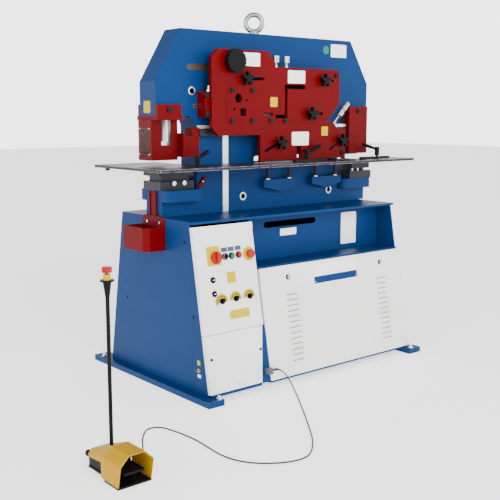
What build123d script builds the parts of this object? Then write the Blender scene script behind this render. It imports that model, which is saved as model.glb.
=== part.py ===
from build123d import *
import os
from math import atan2, cos, degrees, radians, sin, tan

os.makedirs("parts", exist_ok=True)

# All lengths are in millimetres: X to the right, Y to the back, Z up, floor at zero.

# General
overrun = 5
running_gap = 0.05
part_gap = 0.5
door_gap = 3

# Floor rails and their fixings
rail_thick = 30
rail_width = 95
rail_length = 1096
rail_centre = 742
anchor_hole = 18
anchor_x = 766
anchor_y = 522
level_screw = 16
level_head = 26
level_height = 10
level_front_x = 718
level_front_y = 534
level_rear_x = 766
level_rear_y = 480

# Cabinet, a welded shell that is deeper at its foot than at its top
cabinet_width = 1480
cabinet_top = 880
top_plate = 12
wall = 8
back_sheet = 5
front_lip = 352
front_foot = 503
rear_lip = 290
rear_foot = 434
ledge_height = 621
band_y = -227
band_sheet = 6
band_slot_left = -171
band_slot_right = 218
band_slot_below = 72
band_slot_wide = 34
divider_x = -363

# Front panels, folded trays that lie in the slope of the cabinet's front
panel_depth = 24
panel_sheet = 3
panel_edge = 4
door_right = -366
door_bottom = 332
door_top = 856
hinge_pin = 6
hinge_knuckle = 12
hinge_knuckle_long = 32
cover_bottom = 46
cover_right_top = -372
cover_right_bottom = -412
front_panel_left = -350
front_panel_bottom = 40
louvre_count = 13
louvre_top = 464
louvre_bottom = 119
louvre_long = 84
louvre_high = 9
louvre_proud = 6
louvre_taper = 30
louvre_left_x = -146
louvre_right_x = 560
lock_x = (-161, 562)
lock_height = 550
lock_dia = 26
lock_proud = 5
cover_screw_places = ((-715, 213), (-400, 213), (-560, 70))
cover_screw_dia = 14
cover_screw_proud = 4

# Controls on the door: places as (X, height), diameters and how far they stand out
switch_plate_left = -672
switch_plate_right = -593
switch_plate_bottom = 662
switch_plate_top = 755
fitting_thick = 3
switch_place = (-620, 699)
switch_dia = 62
switch_proud = 26
switch_grip = 16
lamp_place = (-562, 699)
start_place = (-520, 699)
stop_place = (-475, 700)
button_dia = 24
button_proud = 9
button_travel = 4
bezel_dia = 34
bezel_proud = 7
estop_place = (-408, 698)
estop_shield_dia = 72
estop_head_dia = 44
estop_head_thick = 14
estop_stem_dia = 24
estop_travel = 6
estop_rise = 10
selector_places = ((-612, 485), (-525, 487), (-436, 488))
selector_dia = 30
selector_proud = 18
dial_dia = 74
pointer_share = 0.36
pointer_turn = 60
pointer_long_share = 0.9
door_lock_place = (-651, 593)
door_lock_dia = 24
plug_place = (-651, 525)
fitting_stem = 10

# Inner units behind the panels
tank_left = -250
tank_right = 520
tank_front = -90
tank_back = 230
tank_high = 330
motor_dia = 210
motor_long = 320
pump_dia = 120
pump_long = 150
motor_foot = 20
electric_plate_thick = 4
electric_front = -230
electric_back = 190
electric_bottom = 390
electric_top = 830
electric_box_count = 3
electric_box_wide = 70
electric_box_high = 110
electric_box_deep = 60

# Upper frame, two plates with closing strips between them
frame_thick = 143
frame_plate = 25
head_left = -752
head_right = 792
head_top = 1830
head_side_left = 1562
head_side_right = 1584
head_top_left = -592
head_top_right = 641
arm_under = 1392
body_left = -724
body_right = 780
arm_top = 957
throat_left = -500
throat_right = 545
throat_round = 60
closer = 8
blade_window_left = -400
blade_window_right = 330
blade_window_bottom = 1345
blade_window_top = 1560
flat_slot_left = -110
flat_slot_right = 500
flat_slot_bottom = 1137
flat_slot_top = 1172
window_round = 12
slot_bar_left = -556
slot_bar_right = -300
slot_bar_below = 190
slot_bar_wide = 34
pin_places = ((-530, 1519, 44), (-509, 1443, 26), (-191, 956, 44), (471, 956, 44))
pin_wall = 7
pin_proud = 4

# Lifting eye
eye_x = -50
eye_outer = 116
eye_rod = 26
eye_collar = 60
eye_collar_high = 12
eye_shank = 30
eye_turn = -40

# Bright guide strips and the dark blade block on the front plate
strip_left = -333
strip_right = -297
strip_bottom = 881
strip_thick = 8
guide_left = -499
guide_right = 596
guide_bottom = 1327
guide_top = 1343
guide_thick = 16
blade_block_left = -499
blade_block_right = -340
blade_block_bottom = 1288
blade_block_thick = 30

# Red shear plate on its spacers
plate_front = -160
plate_thick = 20
plate_bottom = 1142
plate_left = -466
plate_right = 520
plate_edge_right = 465
plate_edge_high = 190
plate_step_rise = 80
plate_step_x = -38
plate_chamfer = 42
plate_foot_left = -139
plate_waist_rise = 148
plate_shoulder_rise = 176
plate_cut_rise = 104
plate_cut_x = 362
plate_screw_chamfer = 40
plate_screw_x = 412
plate_corner = 30
spacer_places = ((-447, 1450, 94, 130), (250, 1605, 60, 70), (300, 1230, 60, 90), (-100, 1306, 60, 36))
insert_left = -367
insert_right = -177
insert_bottom = 1343
insert_top = 1529
insert_proud = 2
round_place = (-290, 1484)
round_dia = 48
square_place = (-259, 1411)
square_side = 40
small_hole_places = ((-237, 1473), (-318, 1427))
small_hole = 14
angle_slot_x = 48
angle_slot_wide = 20
angle_slot_top = 1546
angle_slot_bottom = 1378
angle_slot_foot = -30
bar_slot_left = 37
bar_slot_right = 192
bar_slot_bottom = 1538
bar_slot_top = 1561
rest_slot_left = -110
rest_slot_right = -49
rest_slot_bottom = 1391
rest_slot_top = 1409
hold_slot_x = 147
hold_slot_wide = 30
hold_slot_bottom = 1160
hold_slot_top = 1226
flat_feed = 8
insert_screw_places = ((-333, 1523), (-195, 1523), (-333, 1365), (-196, 1365))
plate_screw_places = ((-65, 1364), (40, 1364), (436, 1620), (495, 1180))
block_screw_places = ((-480.5, 1496), (-480.5, 1404))
cap_head = 27
cap_head_proud = 9
cap_socket = 12

# Star knobs: place, then the far end of the slot that each is set along
knob_places = ((-246, 1585), (326, 1590), (225, 1403), (-4, 1244), (476, 1250))
knob_slot_ends = ((-118, 1587), (409, 1590), (324, 1405), (-100, 1203), (393, 1201))
knob_slot_wide = 17
knob_dia = 76
knob_lobe = 18
knob_hub = 30
knob_thick = 22
knob_hub_high = 16
knob_stud = 12
knob_stud_long = 34
knob_nut = 30
knob_nut_thick = 8
knob_lobes = 5
knob_turn = 18
knob_core_share = 0.62
knob_arm_share = 0.7
wheel_place = (-330, 1672)
wheel_dia = 122
wheel_thick = 24
wheel_hub = 54
wheel_hub_high = 18
wheel_shaft = 20
wheel_grip_count = 16
wheel_grip_dia = 12

# Knurled hold-down screws
screw_dia = 12
screw_head = 36
screw_head_high = 34
screw_neck = 20
screw_neck_high = 26
screw_deep = 40
screw_places_x = (-20, 55)
screw_long_head_high = 100
screw_long_neck_high = 66
head_groove = 3
slant_share = 0.3

# Moving shear beam, its cylinder and the notching ram
beam_gap = 3
beam_left = -395
beam_right = 470
beam_bottom = 1176
beam_top = 1600
beam_arm_bottom = 1452
beam_arm_top = 1540
beam_arm_right = 745
beam_stroke = 40
stock_gap = 6
cylinder_dia = 88
cylinder_wall = 12
shear_cylinder_x = 30
shear_cylinder_bottom = 1660
shear_rod_dia = 55
shear_rod_top = 1720
cylinder_top_gap = 20
notch_left = 630
notch_right = 740
notch_bottom = 1160
notch_deep = 84

# Punch station
punch_x = -640
punch_cylinder_bottom = 1440
punch_ram_dia = 50
punch_nut_dia = 64
punch_nut_top = 1262
punch_nut_bottom = 1224
punch_tool_dia = 28
punch_tool_bottom = 1196
punch_ram_top = 1600
punch_cylinder_top = 1630
cheek_thick = 18
cheek_right = -607
cheek_top = 1449
flange_thick = 22
flange_over = 4
guard_left = -772
guard_right = -612
guard_half = 60
guard_sheet = 4
guard_bottom = 1168
guard_window_bottom = 1200
guard_window_top = 1326
guard_window_half = 42
guard_slot_left = -712
guard_slot_right = -650
guard_slot_bottom = 1244
window_thick = 3
window_lap = 6
stripper_left = -602
stripper_front = -96
stripper_back = -30
stripper_bottom = 1182
stripper_top = 1331
stripper_notch_bottom = 1290
stripper_notch_left = -580
stripper_notch_right = -545
stripper_groove = 4
stripper_step = 26
stripper_groove_shares = (0.14, 0.34)
die_left = -735
die_right = -524
die_half = 78
die_base_top = 1060
die_neck_top = 1086
die_neck_inset = 22
die_button_dia = 96
die_button_top = 1137
die_bore = 34
die_bolt_shares = (0.38, 0.68)
die_bolt_head = 26
die_bolt_proud = 10
die_bolt_lift = 12
bolster_top = 1016
bolster_half = 127
bolster_chamfer = 14
bolster_inset = 10
slug_hole = 60
chute_half = 30
chute_thick = 5
chute_top = 1010
chute_lip = 5
chute_foot_half = 76
chute_foot_long = 16
bin_deep = 122
bin_back = 80
bin_front = 126
bin_top = 836
bin_bottom = 717
bin_sheet = 3
bin_corner = 26
bin_screw_rise_share = 0.4
bin_screw_inset = 46
bin_screw_dia = 14

# Notch station
notch_guard_left = 601
notch_guard_right = 757
notch_guard_front = -112
notch_guard_top = 1446
notch_guard_bottom = 1168
notch_guard_sheet = 4
notch_hole = 7
notch_hole_count = 7
notch_die_left = 620
notch_die_right = 806
notch_die_half = 106
notch_die_mid = 1061
notch_die_upper = 1076
notch_die_top = 1127
notch_die_inset = 16
notch_stud_shares = (0.2, 0.46, 0.74)
notch_stud_dia = 12
notch_bolster_left = 560
notch_bolster_right = 808
notch_bolster_half = 112
notch_bolster_round = 30

# Work table, its brackets and studs
table_top = 1137.5
table_thick = 14
table_left = -887
table_half = 314
table_right = 966
table_leg_back = -82
table_gap = 6
table_notch_back = -130
table_notch_left = 548
bracket_front = -112
bracket_lefts = (-69, 300)
bracket_wide = 236
bracket_top = 1042
bracket_mid = 1000
bracket_bottom = 972
bracket_taper_share = 0.55
stud_dia = 16
stud_nut = 28
stud_nut_high = 14
stud_washer = 30
stud_washer_high = 4
stud_y = -96
stud_shares = (0.16, 0.84)
table_knob_places = ((-846, -250), (-846, 250), (-780, -290))
table_knob_dia = 24
table_knob_high = 16

# Table stops and their clamp levers
stop_lefts = (85, 625)
stop_long = 245
stop_y = -188
stop_wide = 26
stop_thick = 12
stop_travel = 60
stop_nut = 30
stop_nut_high = 10
left_lever_y = -205
lever_x = (185, 768, -595)
lever_y = (stop_y, stop_y, left_lever_y)
lever_turn = (0, 165, 20)
lever_post = 28
lever_post_high = 56
lever_foot = 14
lever_foot_high = 10
lever_arm = 15
lever_arm_long = 105
lever_arm_rise_share = 0.32
lever_ball = 20

# Foot pedal with its post-mounted stop button
pedal_x = -1510
pedal_wide = 150
pedal_rear_wide = 104
pedal_front = -1036
pedal_back = -768
pedal_base_thick = 8
pedal_hood_mid = -932
pedal_hood_top = 135
pedal_hood_rear = 76
pedal_hood_chamfer = 38
pedal_hood_rear_chamfer = 18
pedal_hood_sheet = 3
pedal_hood_lean = 19
pedal_side_back = -903
pedal_side_low = 69
pedal_side_rear_low = 44
pedal_box_front = -900
pedal_box_high = 50
pedal_latch_dia = 28
pedal_latch_long = 16
pedal_latch_side = 43
pedal_latch_height = 53
treadle_wide = 92
treadle_long = 120
treadle_thick = 10
treadle_height = 52
treadle_pin = 10
treadle_pin_y = -912
treadle_barrel = 8
treadle_ribs = 6
treadle_rib = 6
lug_thick = 8
post_dia = 16
post_x = -1516
post_y = -876
post_top = 704
holder_dia = 34
holder_high = 66
holder_flange = 55
holder_flange_thick = 6
holder_ring = 30
holder_ring_high = 21
post_head_dia = 40
post_head_high = 22
post_stem_dia = 14
post_stem_high = 8

# Foot switch cable: a hand-chosen route from the pedal to the gland on the cabinet
cable_dia = 7
bend_share = 0.45
gland_wide = 26
gland_high = 34
gland_proud = 32
gland_relief_dia = 14
gland_x = -372
gland_height = 96
pedal_gland_dia = 14
cable_route = (
    (-1413, -838, 28), (-1393, -838, 28), (-1367, -831, 21), (-1338, -810, 11), (-1308, -773, 5),
    (-1280, -730, 4), (-1246, -672, 4), (-1202, -617, 4), (-1175, -590, 4), (-1148, -580, 4),
    (-1121, -586, 4), (-1101, -605, 4), (-1087, -648, 4), (-1074, -728, 4), (-1068, -822, 4),
    (-1077, -915, 4), (-1087, -1005, 4), (-1079, -1088, 4), (-1050, -1152, 4), (-1005, -1203, 4),
    (-948, -1242, 4), (-890, -1264, 4), (-838, -1268, 4), (-788, -1248, 4), (-733, -1203, 4),
    (-672, -1140, 4), (-613, -1063, 4), (-557, -988, 4), (-502, -913, 4), (-447, -837, 4),
    (-393, -761, 4), (-342, -688, 5), (-306, -633, 8), (-281, -589, 16), (-269, -557, 33),
    (-270, -532, 57), (-282, -516, 79), (-299, -509, 93), (-318, -507, 99), (-336, -507, 99),
)

# Derived sizes
half_width = cabinet_width / 2
bin_outer = half_width + bin_deep
slope = atan2(front_foot - front_lip, cabinet_top - rail_thick)
front_half = frame_thick / 2
inner_half = front_half - frame_plate
plate_back = plate_front + plate_thick
plate_waist = plate_bottom + plate_waist_rise
plate_shoulder = plate_bottom + plate_shoulder_rise
plate_cut_high = plate_shoulder + plate_screw_chamfer + plate_cut_rise
plate_top_right = plate_cut_high + plate_edge_high
plate_top_left = plate_top_right + plate_step_rise
band_slot_height = cabinet_top - band_slot_below
slot_bar_height = head_top - slot_bar_below
table_under = table_top - table_thick
front_plane = Plane(
    origin=(0, -front_foot, rail_thick), x_dir=(1, 0, 0), z_dir=(0, -cos(slope), sin(slope))
)
slant_plane = Plane(
    origin=(
        plate_screw_x + plate_screw_chamfer * slant_share, (plate_front + plate_back) / 2,
        plate_shoulder + plate_screw_chamfer * (1 - slant_share),
    ),
    x_dir=(0, 1, 0), z_dir=(1, 0, 1),
)
front_axis = Axis((0, 0, 0), (0, -cos(slope), sin(slope)))


def on_slope(height):
    """Distance up the sloping front from its foot to a given height."""
    return (height - rail_thick) / cos(slope)


def front_y(height, depth=0):
    """Y of the sloping front at a height, set back by a depth."""
    return -front_foot + (height - rail_thick) * tan(slope) + depth / cos(slope)


def hinge_round(diameter, bottom, top, mode=Mode.ADD):
    """A round form on the door's hinge line, between two heights."""
    across = Plane(
        origin=(door_right, front_y(bottom, hinge_knuckle / 2), bottom), x_dir=(1, 0, 0),
        z_dir=(0, sin(slope), cos(slope)),
    )
    with BuildSketch(across) as outline:
        Circle(diameter / 2)
    extrude(outline.sketch, amount=(top - bottom) / cos(slope), mode=mode)


def block(x, y, z, mode=Mode.ADD):
    """A straight block between two limits along each axis."""
    with Locations(((x[0] + x[1]) / 2, (y[0] + y[1]) / 2, (z[0] + z[1]) / 2)):
        Box(x[1] - x[0], y[1] - y[0], z[1] - z[0], mode=mode)


def prism_y(points, front, back, mode=Mode.ADD):
    """An outline in X and Z, carried from a front face to a back face."""
    with BuildSketch(Plane.XZ.offset(-back)) as outline:
        with BuildLine():
            Polyline(*points, close=True)
        make_face()
    extrude(outline.sketch, amount=back - front, mode=mode)


def prism_x(points, left, right, mode=Mode.ADD):
    """An outline in Y and Z, carried from a left face to a right face."""
    with BuildSketch(Plane.YZ.offset(left)) as outline:
        with BuildLine():
            Polyline(*points, close=True)
        make_face()
    extrude(outline.sketch, amount=right - left, mode=mode)


def rod_y(x, z, diameter, front, back, mode=Mode.ADD):
    """A round bar that lies along Y."""
    with BuildSketch(Plane.XZ.offset(-back)) as outline:
        with Locations((x, z)):
            Circle(diameter / 2)
    extrude(outline.sketch, amount=back - front, mode=mode)


def nut_z(x, y, across, bottom, top):
    """A six-sided nut or screw head that stands along Z."""
    with BuildSketch(Plane.XY.offset(bottom)) as outline:
        with Locations((x, y)):
            RegularPolygon(across / 2, 6)
    extrude(outline.sketch, amount=top - bottom)


def rod_z(x, y, diameter, bottom, top, mode=Mode.ADD):
    """A round bar that stands along Z."""
    with BuildSketch(Plane.XY.offset(bottom)) as outline:
        with Locations((x, y)):
            Circle(diameter / 2)
    extrude(outline.sketch, amount=top - bottom, mode=mode)


def slot_y(start, end, wide, front, back, mode=Mode.SUBTRACT):
    """A slot with round ends between two places in X and Z."""
    run = Vector(end[0] - start[0], end[1] - start[1])
    turn = degrees(atan2(run.Y, run.X))
    with BuildSketch(Plane.XZ.offset(-back)) as outline:
        with Locations(((start[0] + end[0]) / 2, (start[1] + end[1]) / 2)):
            SlotCenterToCenter(run.length, wide, rotation=turn)
    extrude(outline.sketch, amount=back - front, mode=mode)


def on_front(place, diameter, start, end, mode=Mode.ADD):
    """A round form on the sloping front, from one distance off it to another."""
    with BuildSketch(front_plane.offset(start)) as outline:
        with Locations((place[0], on_slope(place[1]))):
            Circle(diameter / 2)
    extrude(outline.sketch, amount=end - start, mode=mode)


def front_outline(points, start, end, mode=Mode.ADD):
    """An outline of (X, height) places on the sloping front, between two distances off it."""
    with BuildSketch(front_plane.offset(start)) as outline:
        with BuildLine():
            Polyline(*[(x, on_slope(height)) for x, height in points], close=True)
        make_face()
    extrude(outline.sketch, amount=end - start, mode=mode)


def corners(left, right, bottom, top):
    """The four corners of an upright rectangle."""
    return ((left, bottom), (right, bottom), (right, top), (left, top))


def save(piece, name):
    """Name a finished piece and write it."""
    piece.part.label = name
    export_step(piece.part, f"parts/{name}.step")


# Floor rails: two flat bars with an anchor hole at each end
with BuildPart() as floor_rails:
    for side in (-1, 1):
        block(
            (side * rail_centre - rail_width / 2, side * rail_centre + rail_width / 2),
            (-rail_length / 2, rail_length / 2), (0, rail_thick),
        )
    for x in (-anchor_x, anchor_x):
        for y in (-anchor_y, anchor_y):
            rod_z(x, y, anchor_hole, -overrun, rail_thick + overrun, Mode.SUBTRACT)
save(floor_rails, "floor_rails")

# Cabinet shell: side walls, top plate, back sheet, divider and front post as one weldment
side_outline = (
    (front_y(rail_thick, panel_depth), rail_thick),
    (rear_foot, rail_thick),
    (rear_lip, cabinet_top - top_plate),
    (front_y(cabinet_top - top_plate, panel_depth), cabinet_top - top_plate),
)
with BuildPart() as cabinet_shell:
    prism_x(side_outline, -half_width, -half_width + wall)
    prism_x(side_outline, half_width - wall, half_width)
    prism_x(side_outline, divider_x - wall / 2, divider_x + wall / 2)
    block((-half_width, half_width), (-front_lip, rear_lip), (cabinet_top - top_plate, cabinet_top))
    prism_x(
        (
            (rear_foot - back_sheet, rail_thick), (rear_foot, rail_thick),
            (rear_lip, cabinet_top - top_plate), (rear_lip - back_sheet, cabinet_top - top_plate),
        ),
        -half_width, half_width,
    )
    block(
        (-half_width, half_width), (-front_foot + panel_depth * 2, rear_foot),
        (rail_thick, rail_thick + wall),
    )
    front_outline(
        (
            (cover_right_bottom + door_gap, front_panel_bottom),
            (front_panel_left - door_gap, front_panel_bottom),
            (front_panel_left - door_gap, door_bottom - door_gap),
            (cover_right_top + door_gap, door_bottom - door_gap),
        ),
        -panel_depth - wall, -panel_sheet,
    )
    hinge_round(hinge_pin, door_bottom - door_gap - overrun, door_bottom + hinge_knuckle_long)
    hinge_round(hinge_pin, door_top - hinge_knuckle_long, cabinet_top - top_plate + overrun)
save(cabinet_shell, "cabinet_shell")

# Front band: a folded sheet with the ledge, the upright band and its long slot
with BuildPart() as front_band:
    band_left = divider_x + wall / 2 + part_gap
    band_right = half_width - wall - part_gap
    prism_x(
        (
            (front_y(ledge_height, panel_sheet), ledge_height),
            (band_y, ledge_height),
            (band_y, cabinet_top - top_plate),
            (band_y + band_sheet, cabinet_top - top_plate),
            (band_y + band_sheet, ledge_height - band_sheet),
            (front_y(ledge_height - band_sheet, panel_sheet), ledge_height - band_sheet),
        ),
        band_left, band_right,
    )
    slot_y(
        (band_slot_left + band_slot_wide / 2, band_slot_height),
        (band_slot_right - band_slot_wide / 2, band_slot_height),
        band_slot_wide, band_y - overrun, band_y + band_sheet + overrun,
    )
save(front_band, "front_band")


def tray(points, hollow_points):
    """A folded sheet tray whose open side faces the cabinet."""
    front_outline(points, -panel_depth, 0)
    front_outline(hollow_points, -panel_depth - overrun, -panel_sheet, Mode.SUBTRACT)


# Louvred front panel
with BuildPart() as front_panel:
    panel_top = ledge_height - band_sheet - door_gap
    tray(
        corners(front_panel_left, half_width, front_panel_bottom, panel_top),
        corners(
            front_panel_left + panel_sheet, half_width - panel_sheet,
            front_panel_bottom + panel_sheet, panel_top - panel_sheet,
        ),
    )
    louvre_pitch = (louvre_top - louvre_bottom) / (louvre_count - 1)
    for column in (louvre_left_x, louvre_right_x):
        for row in range(louvre_count):
            with BuildSketch(front_plane) as base:
                with Locations((column, on_slope(louvre_bottom + row * louvre_pitch))):
                    SlotOverall(louvre_long, louvre_high)
            extrude(base.sketch, amount=louvre_proud, taper=louvre_taper)
save(front_panel, "front_panel")

with BuildPart() as lower_cover:
    cover_top = door_bottom - door_gap
    tray(
        (
            (-half_width, cover_bottom), (cover_right_bottom, cover_bottom),
            (cover_right_top, cover_top), (-half_width, cover_top),
        ),
        (
            (-half_width + panel_sheet, cover_bottom + panel_sheet),
            (cover_right_bottom - panel_sheet, cover_bottom + panel_sheet),
            (cover_right_top - panel_sheet, cover_top - panel_sheet),
            (-half_width + panel_sheet, cover_top - panel_sheet),
        ),
    )
save(lower_cover, "lower_cover")

# Electrical door on two hinge knuckles, then its plates, buttons and switches
with BuildPart() as electric_door:
    tray(
        corners(-half_width, door_right, door_bottom, door_top),
        corners(
            -half_width + panel_sheet, door_right - panel_sheet,
            door_bottom + panel_sheet, door_top - panel_sheet,
        ),
    )
    for place in (switch_place, start_place, stop_place, estop_place) + selector_places:
        on_front(place, fitting_stem + part_gap * 2, -panel_depth, overrun, Mode.SUBTRACT)
    for bottom in (door_bottom, door_top - hinge_knuckle_long):
        hinge_round(hinge_knuckle, bottom, bottom + hinge_knuckle_long)
        hinge_round(
            hinge_pin + running_gap * 2, bottom - overrun, bottom + hinge_knuckle_long + overrun,
            Mode.SUBTRACT,
        )
save(electric_door, "electric_door")

with BuildPart() as door_fittings:
    front_outline(
        corners(switch_plate_left, switch_plate_right, switch_plate_bottom, switch_plate_top),
        0, fitting_thick,
    )
    on_front(switch_place, fitting_stem + part_gap * 2, -overrun, fitting_thick + overrun, Mode.SUBTRACT)
    on_front(lamp_place, bezel_dia, 0, bezel_proud)
    on_front(lamp_place, button_dia, bezel_proud, bezel_proud + button_proud)
    for place in (start_place, stop_place):
        on_front(place, bezel_dia, 0, bezel_proud)
        on_front(place, button_dia + part_gap * 2, -overrun, bezel_proud + overrun, Mode.SUBTRACT)
    on_front(estop_place, estop_shield_dia, 0, fitting_thick)
    on_front(estop_place, estop_stem_dia + part_gap * 2, -overrun, fitting_thick + overrun, Mode.SUBTRACT)
    for place in selector_places:
        on_front(place, dial_dia, 0, fitting_thick)
        on_front(place, fitting_stem + part_gap * 2, -overrun, fitting_thick + overrun, Mode.SUBTRACT)
    on_front(door_lock_place, door_lock_dia, 0, lock_proud)
    on_front(plug_place, door_lock_dia, 0, lock_proud)
save(door_fittings, "door_fittings")

with BuildPart() as main_switch:
    on_front(switch_place, fitting_stem, -panel_depth / 2, fitting_thick + part_gap)
    on_front(switch_place, switch_dia, fitting_thick + part_gap, fitting_thick + switch_proud / 2)
    with BuildSketch(front_plane.offset(fitting_thick + switch_proud / 2)) as grip:
        with Locations((switch_place[0], on_slope(switch_place[1]))):
            SlotOverall(switch_dia * pointer_long_share, switch_grip, rotation=90)
    extrude(grip.sketch, amount=switch_proud / 2)
save(main_switch, "main_switch")

for button_name, place in (("start_button", start_place), ("stop_button", stop_place)):
    with BuildPart() as button:
        on_front(place, fitting_stem, -panel_depth / 2, button_travel)
        on_front(place, button_dia, button_travel + part_gap, bezel_proud + button_proud)
        on_front(place, fitting_stem, 0, bezel_proud)
    save(button, button_name)

with BuildPart() as panel_estop:
    on_front(estop_place, fitting_stem, -panel_depth / 2, fitting_thick + estop_rise)
    on_front(estop_place, estop_stem_dia, estop_travel + part_gap, fitting_thick + estop_rise)
    on_front(
        estop_place, estop_head_dia, fitting_thick + estop_rise,
        fitting_thick + estop_rise + estop_head_thick,
    )
    fillet(panel_estop.faces().sort_by(front_axis)[-1].edges(), panel_edge)
save(panel_estop, "panel_estop")

for index, place in enumerate(selector_places):
    with BuildPart() as selector:
        on_front(place, fitting_stem, -panel_depth / 2, fitting_thick + part_gap)
        on_front(place, selector_dia, fitting_thick + part_gap, fitting_thick + selector_proud / 2)
        with BuildSketch(front_plane.offset(fitting_thick + selector_proud / 2)) as pointer:
            with Locations((place[0], on_slope(place[1]))):
                SlotOverall(
                    selector_dia * pointer_long_share, selector_dia * pointer_share, rotation=pointer_turn
                )
        extrude(pointer.sketch, amount=selector_proud / 2)
    save(selector, f"selector_{index + 1}")

# Inner units: the hydraulic power unit and the electrical plate
inner_floor = rail_thick + wall
with BuildPart() as inner_units:
    block((tank_left, tank_right), (tank_front, tank_back), (inner_floor, inner_floor + tank_high))
    tank_top = inner_floor + tank_high
    middle_y = (tank_front + tank_back) / 2
    motor_z = tank_top + motor_foot + motor_dia / 2
    block(
        (tank_left + motor_foot, tank_left + motor_foot + motor_long),
        (middle_y - motor_dia / 4, middle_y + motor_dia / 4), (tank_top, motor_z),
    )
    with BuildSketch(Plane.YZ.offset(tank_left + motor_foot)) as motor:
        with Locations((middle_y, motor_z)):
            Circle(motor_dia / 2)
    extrude(motor.sketch, amount=motor_long)
    with BuildSketch(Plane.YZ.offset(tank_left + motor_foot + motor_long)) as pump:
        with Locations((middle_y, motor_z)):
            Circle(pump_dia / 2)
    extrude(pump.sketch, amount=pump_long)
    plate_face = divider_x - wall / 2
    block(
        (plate_face - electric_plate_thick, plate_face), (electric_front, electric_back),
        (electric_bottom, electric_top),
    )
    box_pitch = (electric_back - electric_front) / electric_box_count
    for index in range(electric_box_count):
        middle = electric_front + (index + 1 / 2) * box_pitch
        block(
            (plate_face - electric_plate_thick - electric_box_deep, plate_face - electric_plate_thick),
            (middle - electric_box_wide / 2, middle + electric_box_wide / 2),
            (electric_top - box_pitch - electric_box_high, electric_top - box_pitch),
        )
save(inner_units, "inner_units")

# Upper frame: two profiled plates and the strip that closes the space between them
frame_points = (
    (body_left, cabinet_top), (body_left, arm_top), (throat_left, arm_top), (throat_left, arm_under),
    (head_left, arm_under), (head_left, head_side_left), (head_top_left, head_top),
    (head_top_right, head_top), (head_right, head_side_right), (head_right, arm_under),
    (throat_right, arm_under), (throat_right, arm_top), (body_right, arm_top), (body_right, cabinet_top),
)


def frame_sketch(y):
    """The outline of the upper frame with its two rounded throats."""
    with BuildSketch(Plane.XZ.offset(-y)) as outline:
        with BuildLine():
            Polyline(*frame_points, close=True)
        make_face()
        throat_corners = [
            corner for corner in outline.vertices()
            if head_left < corner.X - part_gap and corner.X + part_gap < head_right
            and abs(corner.Y - arm_under) < part_gap
        ]
        fillet(throat_corners, throat_round)
    return outline.sketch


def window(left, right, bottom, top, front, back):
    """A cut with rounded corners through a frame plate."""
    with BuildSketch(Plane.XZ.offset(-back)) as outline:
        with Locations(((left + right) / 2, (bottom + top) / 2)):
            RectangleRounded(right - left, top - bottom, window_round)
    extrude(outline.sketch, amount=back - front, mode=Mode.SUBTRACT)


for plate_name, near, far in (
    ("front_plate", -front_half, -inner_half), ("back_plate", inner_half, front_half),
):
    with BuildPart() as frame_side:
        extrude(frame_sketch(far), amount=frame_plate)
        window(
            blade_window_left, blade_window_right, blade_window_bottom, blade_window_top,
            near - overrun, far + overrun,
        )
        window(
            flat_slot_left, flat_slot_right, flat_slot_bottom, flat_slot_top,
            near - overrun, far + overrun,
        )
        for x, z, diameter in pin_places:
            rod_y(x, z, diameter + running_gap * 2, near - overrun, far + overrun, Mode.SUBTRACT)
        if near < 0:
            slot_y(
                (slot_bar_left + slot_bar_wide / 2, slot_bar_height),
                (slot_bar_right - slot_bar_wide / 2, slot_bar_height),
                slot_bar_wide, near - overrun, far + overrun,
            )
    save(frame_side, plate_name)

with BuildPart() as frame_closer:
    extrude(frame_sketch(inner_half), amount=inner_half * 2)
    with BuildSketch(Plane.XZ.offset(-inner_half - overrun)) as hollow:
        add(Plane.XZ.to_local_coords(frame_sketch(0)))
        offset(amount=-closer, kind=Kind.INTERSECTION, mode=Mode.REPLACE)
    extrude(hollow.sketch, amount=inner_half * 2 + overrun * 2, mode=Mode.SUBTRACT)
    rod_z(
        punch_x, 0, punch_ram_dia + stock_gap, arm_under - overrun, arm_under + closer + overrun,
        Mode.SUBTRACT,
    )
    rod_z(punch_x, 0, slug_hole, arm_top - closer - overrun, arm_top + overrun, Mode.SUBTRACT)
    block(
        (notch_left - stock_gap, notch_right + stock_gap),
        (-notch_deep / 2 - part_gap, notch_deep / 2 + part_gap),
        (arm_under - overrun, arm_under + closer + overrun), Mode.SUBTRACT,
    )
    block(
        (body_left - overrun, body_left + closer + overrun), (-chute_half, chute_half),
        (cabinet_top + closer, arm_top - closer), Mode.SUBTRACT,
    )
    rod_z(eye_x, 0, eye_shank + part_gap * 2, head_top - closer - overrun, head_top + overrun, Mode.SUBTRACT)
save(frame_closer, "frame_closer")

with BuildPart() as lifting_eye:
    rod_z(eye_x, 0, eye_shank, head_top - closer, head_top)
    rod_z(eye_x, 0, eye_collar, head_top, head_top + eye_collar_high)
    with Locations((eye_x, 0, head_top + eye_outer / 2 + eye_collar_high / 2)):
        Torus((eye_outer - eye_rod) / 2, eye_rod / 2, rotation=(90, eye_turn, 0))
save(lifting_eye, "lifting_eye")

# Bright strips on the front plate, the bar in its slot and the dark blade block
with BuildPart() as guide_strips:
    block(
        (strip_left, strip_right), (-front_half - strip_thick, -front_half),
        (strip_bottom, blade_block_bottom),
    )
    block((guide_left, guide_right), (-front_half - guide_thick, -front_half), (guide_bottom, guide_top))
    block(
        (blade_block_left, blade_block_right), (-front_half - blade_block_thick, -front_half),
        (blade_block_bottom, guide_bottom),
    )
    slot_y(
        (slot_bar_left + slot_bar_wide / 2, slot_bar_height),
        (slot_bar_right - slot_bar_wide / 2, slot_bar_height),
        slot_bar_wide - running_gap * 2, -front_half + pin_proud, -inner_half, Mode.ADD,
    )
save(guide_strips, "guide_strips")

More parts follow.
